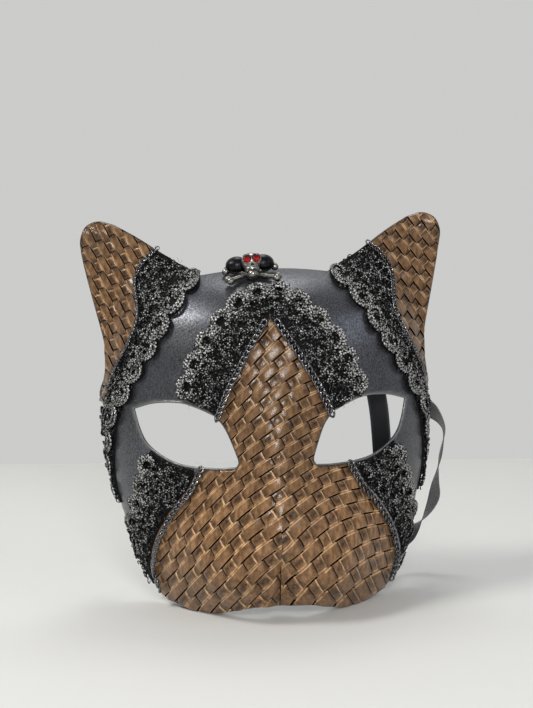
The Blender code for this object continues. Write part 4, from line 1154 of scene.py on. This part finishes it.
def woven_height(counts):
    """Relief of woven strips, from 0 in the slits to 1, at counts in the weave."""
    line = counts.sum(1)
    row = np.floor(line)
    down = line - row
    along = (counts[:, 0] - counts[:, 1]) / 2 - row / 2
    along = along - np.round(along)
    sideways = (along - SQUARE_MIDDLE) / SQUARE_HALF
    lengthways = (np.abs(along - SQUARE_MIDDLE) - 0.5) / (0.5 - SQUARE_HALF)
    (top, top_spread), (bottom, bottom_spread) = DIVE_TOP, DIVE_BOTTOM
    dive = top * bump(down, 0.0, top_spread) + bottom * bump(down, 1.0, bottom_spread)
    square_height = 1.0 - dive - SQUARE_ROUND * sideways**2
    brick_height = BRICK_LEVEL - BRICK_END * np.abs(lengthways) ** 3 - BRICK_ROUND * (2 * down - 1) ** 2
    return np.where(np.abs(sideways) < 1.0, square_height, brick_height)


def make_leather_piece(name, edge, weave, material):
    """A leather panel with its strips in relief and its edge turned down to the shell, with painted shade
    along the edge and on the turned-down side.
    """
    flat, faces = filled(edge, LEATHER_SPACING)
    counts = weave(flat)
    rim = edge_distance(flat, edge)
    lift = GAP + LEATHER_LOW + LEATHER_RELIEF * woven_height(counts) * ease(rim, 0.0, EDGE_RISE)
    lift = lift - EDGE_DROP * LEATHER_LOW * bump(rim, 0.0, EDGE_DROP_SPREAD)
    vertices, polygons, rim_points = skirted(flat, faces, on_mask(*flat.T, lift))
    panel = piece(f"woven_{name}", vertices, polygons, material, "brown_leather", [name])
    counts = np.concatenate([counts, counts[rim_points]])
    x, z = np.concatenate([flat, flat[rim_points]]).T
    # The edge value is painted shade: 1 on the turned-down side, fading inwards from the panel's edge
    paint(panel, line=counts.sum(1), repeats=(counts[:, 0] - counts[:, 1]) / 2,
          seam=bump(x, SEAM_X, SEAM_HALF) * (z < SEAM_TOP),
          edge=np.concatenate([bump(rim, 0.0, EDGE_SHADE_SPREAD), np.ones(len(rim_points))]))


def make_leather(material):
    """The leather of the face and of the two ears."""
    half = np.concatenate([
        outline(LEATHER_POINT, EYE_INNER, EYE_BOTTOM, LEATHER_CHEEK, JAW_EDGE[3:]),
        curve_through(CHIN_EDGE),
    ])
    make_leather_piece("face_leather_panel", mirrored(half)[::-1], face_weave, material)
    ear = np.concatenate([
        outline(EAR_INNER_EDGE[2:], EAR_TIP_EDGE, EAR_OUTER_EDGE, TEMPLE_EDGE[:3],
                [TEMPLE_EDGE[2], EAR_SEAM[-1]]),
        curve_through(EAR_SEAM[::-1])[:-1],
    ])
    for side, sign in SIDES.items():
        edge = ear * np.array([sign, 1.0])
        make_leather_piece(f"ear_leather_{side}", edge, lambda flat: ear_weave(flat, side), material)


def behind_rim(flat):
    """Which flat points lie behind the jaw's rim or the rim plane when they are put on the shell."""
    _, y, z = on_mask(*flat.T, 0.0).T
    rim = curve_through(JAW_RIM)[::-1]
    reach = np.interp(z, rim[:, 1], rim[:, 0], right=0.0)
    return y > np.minimum(reach, 0.0) - LACE_SETBACK


def surface_frame(flat):
    """Place on the shell, two directions along it and its outward direction, at flat points."""
    out = mask_normal(*flat.T)
    across = unit(np.cross(np.array([0.0, 0.0, 1.0]), out))
    return on_mask(*flat.T, 0.0), across, np.cross(out, across), out


def spread_over(edge, step):
    """Flat points spread evenly over the surface inside an outline, by small chance steps off a grid."""
    low, high = edge.min(0)[1], edge.max(0)[1]
    turns = np.arange(-math.pi / 2, math.pi / 2, step / DOME_HALF)
    turn, z = np.meshgrid(turns, np.arange(low, high, step))
    turn = turn + CHANCE.uniform(-GRID_CHANCE, GRID_CHANCE, turn.shape) * step / DOME_HALF
    z = z + CHANCE.uniform(-GRID_CHANCE, GRID_CHANCE, z.shape) * step
    flat = np.stack([DOME_HALF * np.sin(turn).ravel(), z.ravel()], -1)
    flat = flat[inside_outline(flat, edge)]
    return flat[~behind_rim(flat)]


def outside_hollows(flat, hollows):
    """The flat points that lie in no scallop's hollow."""
    for middle, size in hollows:
        flat = flat[np.linalg.norm(flat - middle, axis=1) > size]
    return flat


def winding(surface, angle, reach, lift):
    """Paths round places on the shell by direction, distance and height, and their outward directions."""
    place, across, up, out = surface
    flat_part = across[:, None] * np.cos(angle)[..., None] + up[:, None] * np.sin(angle)[..., None]
    paths = place[:, None] + reach[..., None] * flat_part + out[:, None] * lift[..., None]
    return paths, np.broadcast_to(out[:, None], paths.shape)


def wound(flat, size, turns, lift):
    """Paths that wind in round flat points, and their outward directions; lift is each path's height."""
    count = len(flat)
    share = np.linspace(0.0, 1.0, lift.shape[1])
    angle = CHANCE.uniform(0.0, 2 * math.pi, (count, 1)) + CHANCE.uniform(*turns, (count, 1)) * share
    angle = angle * CHANCE.choice([-1.0, 1.0], (count, 1))
    reach = size * CHANCE.uniform(*WIND_SIZES, (count, 1)) * (1.0 - WIND_IN * share)
    lean = CHANCE.uniform(-WIND_LEAN, WIND_LEAN, (count, 2))
    lift = lift + reach * (lean[:, :1] * np.cos(angle) + lean[:, 1:] * np.sin(angle))
    return winding(surface_frame(flat), angle, reach, np.clip(lift, CURL_YARN, None))


def yarn_curls(edge, hollows):
    """Paths of fine curls all over a lace outline but not in its hollows: each stands up at its middle."""
    flat = spread_over(edge, CURL_STEP)
    flat = outside_hollows(flat[edge_distance(flat, edge) > CURL_RADIUS / 2], hollows)
    top = CURL_TOP * CHANCE.uniform(*CURL_TOPS, (len(flat), 1))
    rise = np.sin(math.pi * np.linspace(0.0, 1.0, CURL_POINTS)) ** CURL_ROUNDNESS
    return wound(flat, CURL_RADIUS, CURL_TURNS, GAP + top * (CURL_FOOT + (1 - CURL_FOOT) * rise))


def loose_cords(edge, hollows):
    """Paths of the loose cords that wind about inside a lace outline."""
    flat = spread_over(edge, LOOSE_STEP)
    flat = outside_hollows(flat[edge_distance(flat, edge) > LOOSE_INSET], hollows)
    lift = LOOSE_LIFT * CHANCE.uniform(*LOOSE_LIFTS, (len(flat), 1))
    rise = np.sin(math.pi * np.linspace(0.0, 1.0, LOOSE_POINTS))
    return wound(flat, LOOSE_RADIUS, LOOSE_TURNS, lift * (LOOSE_FOOT + (1 - LOOSE_FOOT) * rise))


def stray_fibres(edge):
    """Paths of short fine fibres that stand off a lace outline's edge."""
    line = subdivided(edge, FIBRE_SPACING)
    flat = line[CHANCE.integers(0, len(line), FIBRE_COUNT)]
    flat = flat[~behind_rim(flat)]
    count = len(flat)
    share = np.linspace(0.0, 1.0, FIBRE_POINTS)
    start = CHANCE.uniform(0.0, 2 * math.pi, (count, 1))
    angle = start + CHANCE.uniform(-FIBRE_BEND, FIBRE_BEND, (count, 1)) * share
    reach = FIBRE_LENGTH * CHANCE.uniform(*FIBRE_LENGTHS, (count, 1)) * share
    lift = FIBRE_FOOT + CHANCE.uniform(*FIBRE_SLOPES, (count, 1)) * reach
    return winding(surface_frame(flat), angle, reach, lift)


def petals(line, count):
    """Flat lines of the cords in a lace edge's scallops, and each hollow there as its middle and size."""
    cords, hollows = [], []
    for k in range(count):
        start, end = line[k * SCALLOP_POINTS], line[(k + 1) * SCALLOP_POINTS]
        along = (end - start) / 2
        outward = np.array([-along[1], along[0]])
        middle = (start + end) / 2
        axes = np.array([along if k % 2 else -along, outward])
        cords.extend(middle + curve_through(shape, PETAL_STEPS) @ axes for shape in PETAL_CORDS)
        hollows.append((middle + HOLLOW_IN * outward, HOLLOW_SIZE * np.linalg.norm(along)))
    return cords, hollows


def braid(line):
    """A braid along a flat line, highest at its middle; behind the rim it ends."""
    flat = spaced(line, max(BRAID_LEAST, round(length_of(line) / BRAID_PITCH * BRAID_POINTS)))
    place, _, _, out = surface_frame(flat[~behind_rim(flat)])
    rise = np.sin(math.pi * np.linspace(0.0, 1.0, len(place))) ** PETAL_ROUNDNESS
    place = place + out * (PETAL_FOOT + PETAL_RISE * rise)[:, None]
    return plaited(place[None], out[None], BRAID_SILVER)


def plaited(paths, outs, silver):
    """Paths of three yarns braided along each path, and how far their silver shows: most where a strand lies
    on top, as a painted highlight, and least where it passes under, as painted shade.
    """
    side, run = along_line(paths, outs)
    strands = []
    shown = []
    for strand in range(3):
        phase = 2 * math.pi * (run / BRAID_PITCH + strand / 3)[..., None]
        strands.append(paths + side * BRAID_WIDTH * np.sin(phase) + outs * BRAID_HEIGHT * np.sin(2 * phase))
        # Painted highlight where the strand lies on top, painted shade where it passes under
        shown.append(silver * (0.5 + 0.5 * np.sin(2 * phase)))
    return np.concatenate(strands), np.concatenate([outs] * 3), np.concatenate(shown)


def along_line(paths, outs):
    """Sideways directions of paths, and the length run along each path."""
    side = np.cross(outs, unit(np.gradient(paths, axis=1)))
    steps = np.linalg.norm(np.diff(paths, axis=1), axis=2)
    return side, np.concatenate([np.zeros((len(paths), 1)), np.cumsum(steps, axis=1)], axis=1)


def flecked(paths, ups, silver):
    """Yarn paths with how far the silver thread shows that winds round each."""
    _, run = along_line(paths, ups)
    turn = np.arange(YARN_SIDES) / YARN_SIDES
    twist = run[:, :, None] / FLECK_PITCH + turn + CHANCE.uniform(0.0, 1.0, (len(paths), 1, 1))
    return paths, ups, silver * (0.5 + 0.5 * np.sin(2 * math.pi * twist))


def yarn_mesh(paths, ups, shown, radius):
    """Tubes along yarn paths, and for each vertex how far its silver thread shows."""
    taper = np.ones(paths.shape[1])
    taper[[0, -1]] = YARN_TIP
    vertices, faces = tubes(paths, ups, radius * taper, YARN_SIDES)
    return vertices, faces, np.broadcast_to(shown, (*paths.shape[:2], YARN_SIDES)).ravel()


def make_lace_piece(name, edge, cords, hollows, material):
    """One lace: a dark ground, cords along its scallops, loose cords, fine curls and stray fibres."""
    flat, faces = filled(edge, LACE_SPACING)
    flat, faces = without_loose(flat, faces[~behind_rim(flat)[faces].any(axis=1)])
    rough = LACE_GROUND * CHANCE.uniform(*GROUND_SPREAD, len(flat))
    vertices, polygons, _ = skirted(flat, faces, on_mask(*flat.T, GAP + rough))
    parts = [
        (vertices, polygons, np.zeros(len(vertices))),
        yarn_mesh(*flecked(*yarn_curls(edge, hollows), CURL_SILVER), CURL_YARN),
        yarn_mesh(*plaited(*loose_cords(edge, hollows), LOOSE_SILVER), LOOSE_YARN),
        yarn_mesh(*flecked(*stray_fibres(edge), 1.0), FIBRE_RADIUS),
        *(yarn_mesh(*braid(line), BRAID_YARN) for line in cords),
    ]
    lace = piece(f"corded_{name}", *joined(*(part[:2] for part in parts)), material, "black_lace", [name])
    # The twist value: the silver thread, and on the loose and braided cords painted highlight and shade
    paint(lace, twist=np.concatenate([twist for _, _, twist in parts]))


def make_lace(material):
    """The laces of the forehead, the ears and the cheeks, the left ones as mirror images."""
    forehead_edge = scalloped(FOREHEAD_LACE_FACE, FOREHEAD_SCALLOPS) + np.array([GAP, 0.0])
    forehead = np.concatenate([
        forehead_edge,
        inset(EYE_TOP[2:], -LACE_SETBACK)[FOREHEAD_BY_EYE],
        inset(LEATHER_POINT[::-1], -GAP),
    ])
    ear_edge = scalloped(EAR_LACE_FACE[::-1], EAR_SCALLOPS)
    flank = curve_through(EAR_LACE_FLANK[::-1])
    ear = np.concatenate([
        inset(EAR_SEAM, -GAP),
        curve_through(TEMPLE_TRIM),
        flank,
        ear_edge,
        curve_through(EAR_INNER_EDGE[:3])[1:-1],
    ])
    cheek_edge = scalloped(CHEEK_LACE_FACE, CHEEK_SCALLOPS)
    cheek = np.concatenate([
        cheek_edge,
        curve_through(CHEEK_LACE_JAW)[1:],
        inset(LEATHER_CHEEK[::-1], -GAP)[CHEEK_BY_LEATHER],
        inset(EYE_OUTER, -LACE_SETBACK)[CHEEK_BY_EYE],
    ])
    flank_edge = spaced(flank - left_of(flank) * FLANK_INSET, SCALLOP_POINTS * FLANK_PETALS + 1)
    for place, edge, runs in (
        ("forehead", forehead, [(forehead_edge, FOREHEAD_SCALLOPS)]),
        ("ear", ear, [(ear_edge, EAR_SCALLOPS), (flank_edge, FLANK_PETALS)]),
        ("cheek", cheek, [(cheek_edge, CHEEK_SCALLOPS)]),
    ):
        found = [petals(line, count) for line, count in runs]
        for side, sign in SIDES.items():
            flip = np.array([sign, 1.0])
            cords = [line * flip for lines, _ in found for line in lines]
            hollows = [(middle * flip, size) for _, middles in found for middle, size in middles]
            make_lace_piece(f"{place}_lace_{side}", edge * flip, cords, hollows, material)


def curb_link(length, width, wire):
    """One link round the origin: an oval ring along X, twisted to lie flat between its neighbours."""
    turn = np.arange(LINK_SEGMENTS + 1) * 2 * math.pi / LINK_SEGMENTS
    twist = LINK_TWIST * np.cos(turn)
    sideways = np.sin(turn) * width / 2
    oval = np.stack([np.cos(turn) * length / 2, sideways * np.cos(twist), sideways * np.sin(twist)], -1)
    return tubes(oval[None], np.broadcast_to((0.0, 0.0, 1.0), oval[None].shape), wire, LINK_SIDES)


def make_chain(name, points, side, radius, inward, material):
    """A curb chain on the leather, beside the edge that the points follow."""
    line = inset(points, inward)
    line = over_mask(line[line[:, 0] > radius + GAP], GAP + LEATHER + CHAIN_CLEARANCE + radius)
    pitch = LINK_PITCH * radius / LINK_RADIUS
    places = spaced(line, round(length_of(line) / pitch) + 1) * np.array([side, 1.0, 1.0])
    along = unit(np.gradient(places, axis=0))
    across = unit(np.cross(mask_normal(places[:, 0], places[:, 2]), along))
    out = np.cross(along, across)
    ring, faces = curb_link(LINK_LENGTH * pitch, LINK_WIDTH * radius, LINK_WIRE * radius)
    x, y, z = ring.T[..., None]
    parts = []
    for k, place in enumerate(places):
        roll = LINK_ROLL + CHANCE.uniform(-LINK_ROLL_SPREAD, LINK_ROLL_SPREAD)
        sideways = y * math.cos(roll) - z * math.sin(roll)
        upwards = y * math.sin(roll) + z * math.cos(roll)
        parts.append((place + x * along[k] + sideways * across[k] + upwards * out[k], faces))
    piece(f"curb_{name}", *joined(*parts), material, "gunmetal", [name])


def make_chains(material):
    """The chains along the leather's edges; at the leather's point they lie outside it."""
    from_point = np.linspace(CHAIN_TOP_SHIFT, 1.0, len(curve_through(LEATHER_POINT)))[:, None]
    for side, sign in SIDES.items():
        for place, points, radius, inward in (
            ("forehead", LEATHER_POINT, LINK_RADIUS, -CHAIN_INSET * from_point),
            ("cheek", LEATHER_CHEEK[:-1], LINK_RADIUS, -CHAIN_INSET),
            ("ear", EAR_SEAM[:-1], EAR_LINK_RADIUS, CHAIN_INSET),
        ):
            make_chain(f"{place}_chain_{side}", points, sign, radius, inward, material)


def add_ball(solid, radii, place, segments=BALL_SEGMENTS):
    """An ellipsoid, added to a bmesh."""
    around, upwards = segments
    matrix = place @ Matrix.Diagonal((*radii, 1.0))
    bmesh.ops.create_uvsphere(solid, u_segments=around, v_segments=upwards, radius=1.0, matrix=matrix)


def add_rod(solid, start, end, radius):
    """A round rod from one point to another, added to a bmesh."""
    along = end - start
    place = Matrix.Translation((start + end) / 2) @ along.to_track_quat("Z", "Y").to_matrix().to_4x4()
    bmesh.ops.create_cone(solid, cap_ends=True, segments=ROD_SEGMENTS, radius1=radius, radius2=radius,
                          depth=along.length, matrix=place)


def charm_frame():
    """Placement of the charm: local X across, Y up the brow, Z away from the surface."""
    height = FOREHEAD_LACE_FACE[0][1] + CHARM_ABOVE_LACE
    place = Vector(on_mask(CHARM_X, height, CHARM_LIFT))
    out = Vector(mask_normal(np.asarray(CHARM_X), np.asarray(height)))
    across = Vector((1.0, 0.0, 0.0))
    across = (across - across.dot(out) * out).normalized()
    matrix = Matrix((across, out.cross(across), out)).transposed().to_4x4()
    return Matrix.Translation(place) @ matrix @ Matrix.Rotation(CHARM_TURN, 4, "Z")


def cast_form(base, skull):
    """The mesh of the skull, the bow, the crossed bones and the beaded rims of the sockets, not yet one."""
    solid = bmesh.new()
    skull_balls = [(CRANIUM, CRANIUM_UP, 0.0), (UPPER_JAW, UPPER_JAW_UP, 0.0), (CHIN, CHIN_UP, CHIN_OUT)]
    for radii, up, out in skull_balls:
        add_ball(solid, radii, skull @ Matrix.Translation((0.0, up, out)))
    add_ball(solid, BOW_KNOT, base @ Matrix.Translation((0.0, BOW_UP, BOW_KNOT[2])))
    for sign in SIDES.values():
        add_ball(solid, BOW_LOBE, base @ Matrix.Translation((sign * BOW_LOBE_X, BOW_UP, BOW_LOBE[2])))
        reach = Vector((math.cos(BONE_ANGLE), sign * math.sin(BONE_ANGLE), 0.0)) * BONE_HALF_LENGTH
        lift = Vector((0.0, 0.0, KNOB_RADIUS + max(sign, 0) * BONE_STEP))
        add_rod(solid, base @ (lift - reach), base @ (lift + reach), BONE_RADIUS)
        for end in (-1, 1):
            for split in (-1, 1):
                across = Vector((-reach.y, reach.x, 0.0)).normalized() * KNOB_SPLIT * split
                add_ball(solid, (KNOB_RADIUS,) * 3, base @ Matrix.Translation(lift + reach * end + across))
    for sign in SIDES.values():
        for turn in np.arange(BEZEL_BEADS) * 2 * math.pi / BEZEL_BEADS:
            x = sign * SOCKET_X + BEZEL_RADIUS * math.cos(turn)
            up = SOCKET_UP + BEZEL_RADIUS * math.sin(turn)
            bead = skull @ Matrix.Translation((x, up, BEZEL_OUT))
            add_ball(solid, (BEZEL_WIRE,) * 3, bead, BEAD_SEGMENTS)
    return mesh_of(solid, "casting")


def make_charm(metal, stone):
    """Skull, crossbones and bow in one casting, and a stone in each eye socket."""
    base = charm_frame()
    seat = max(CHIN) - CHIN_UP * math.sin(SKULL_LEAN)
    skull = base @ Matrix.Translation((0.0, 0.0, seat)) @ Matrix.Rotation(SKULL_LEAN, 4, "X")
    casting = linked(bpy.data.objects.new("casting", cast_form(base, skull)))
    remesh = casting.modifiers.new("melt", "REMESH")
    remesh.mode = "VOXEL"
    remesh.voxel_size = CHARM_VOXEL
    soften = casting.modifiers.new("soften", "SMOOTH")
    soften.iterations = CHARM_SOFTENING
    seats = {
        side: skull @ Matrix.Translation((sign * SOCKET_X, SOCKET_UP, SOCKET_OUT))
        for side, sign in SIDES.items()
    }
    hollows = bmesh.new()
    for socket in seats.values():
        add_ball(hollows, (GEM_RADIUS + GAP, GEM_RADIUS + GAP, GEM_HALF_HEIGHT + GAP), socket)
    sockets = linked(bpy.data.objects.new("sockets", mesh_of(hollows, "sockets")))
    cut(casting, "DIFFERENCE", sockets)
    charm = finished("cast_charm", applied(casting, sockets), metal, ["charm_casting"])
    points = np.array([vertex.co for vertex in charm.data.vertices])
    paint(charm, tarnish=np.maximum(bow_share(points, base), face_share(points, skull)))
    for side, socket in seats.items():
        make_gem(side, socket, stone)


def local_to(points, frame_matrix):
    """Points in the axes of a placement."""
    matrix = np.array(frame_matrix.inverted())
    return points @ matrix[:3, :3].T + matrix[:3, 3]


def bow_share(points, base):
    """1 at points on the bow's two lobes, which are dark."""
    places = local_to(points, base)
    share = np.zeros(len(points))
    for sign in SIDES.values():
        middle = np.array([sign * BOW_LOBE_X, BOW_UP, BOW_LOBE[2]])
        reach = np.linalg.norm((places - middle) / np.array(BOW_LOBE), axis=1)
        share = np.maximum(share, 1.0 - ease(reach, *BOW_DARK_TO))
    return share * ease(places[:, 2], *BOW_DARK_ABOVE)


def face_share(points, skull):
    """1 in the skull's nose and along its mouth, which are dark."""
    x, up, out = local_to(points, skull).T
    lips = MOUTH_UP - MOUTH_BEND * (x / MOUTH_HALF) ** 2
    mouth = bump(up, lips, MOUTH_SPREAD) * (np.abs(x) < MOUTH_HALF)
    depth = (NOSE_HOLE_UP - up) / NOSE_HOLE_HEIGHT
    nose = (depth > 0.0) & (depth < 1.0) & (np.abs(x) < NOSE_HOLE_HALF * depth)
    return np.maximum(mouth, nose) * (out > 0.0)


def make_gem(side, seat, material):
    """A round cut stone: table, crown facets, girdle and pointed base."""
    solid = bmesh.new()
    rings = []
    for share, level, part_turn in GEM_RINGS:
        angles = [2 * math.pi * (k + part_turn) / GEM_FACETS for k in range(GEM_FACETS)]
        rings.append([solid.verts.new((share * math.cos(a), share * math.sin(a), level)) for a in angles])
    tip = solid.verts.new((0.0, 0.0, GEM_TIP))
    for upper, lower in zip(rings, rings[1:]):
        for k in range(GEM_FACETS):
            n = (k + 1) % GEM_FACETS
            solid.faces.new((upper[k], lower[k], upper[n]))
            solid.faces.new((upper[n], lower[k], lower[n]))
    for k in range(GEM_FACETS):
        solid.faces.new((rings[-1][k], tip, rings[-1][(k + 1) % GEM_FACETS]))
    solid.faces.new(rings[0])
    bmesh.ops.recalc_face_normals(solid, faces=solid.faces)
    mesh = mesh_of(solid, f"stone_{side}")
    # Painted light for the glow: highest at the stone's lower side
    glow = [0.5 - 0.5 * vertex.co.y for vertex in mesh.vertices]
    mesh.transform(seat @ Matrix.Diagonal((GEM_RADIUS, GEM_RADIUS, GEM_HALF_HEIGHT, 1.0)))
    gem = finished(f"cut_stone_{side}", mesh, material, [f"charm_gem_{side}"])
    gem.data.shade_flat()
    paint(gem, glow=glow)


def make_patches(material):
    """The glued satin patches inside the temples."""
    for side, sign in SIDES.items():
        solid = bmesh.new()
        bmesh.ops.create_cube(solid, size=1.0)
        mesh = mesh_of(solid, "patch_outline")
        width = GRID_HALF_WIDTH - PATCH_INNER_X
        middle = (sign * (PATCH_INNER_X + width / 2), PATCH_FRONT + PATCH_LENGTH / 2, PATCH_MIDDLE)
        mesh.transform(Matrix.Translation(middle) @ Matrix.Diagonal((width, PATCH_LENGTH, PATCH_HEIGHT, 1.0)))
        keep = linked(bpy.data.objects.new("patch_outline", mesh))
        patch = moulded("patch", -SHELL_WALL - GAP, PATCH_THICKNESS, keep)
        thing = finished(f"satin_patch_{side}", patch, material, [f"tie_patch_{side}"])
        thing.data.set_sharp_from_angle(angle=SHARP_ANGLE)
        paint(thing, selvedge=np.zeros(len(patch.vertices)))


make_camera()
make_stage()
SATIN = satin_material()
make_ribbon(SATIN)
make_patches(SATIN)
SHELL_PAINT = shell_material()
make_shell(SHELL_PAINT, lining_material())
make_eye_rims(SHELL_PAINT)
make_leather(leather_material())
make_lace(yarn_material())
make_chains(metal_material("gunmetal", *GUNMETAL))
make_charm(metal_material("pewter", *PEWTER), stone_material())
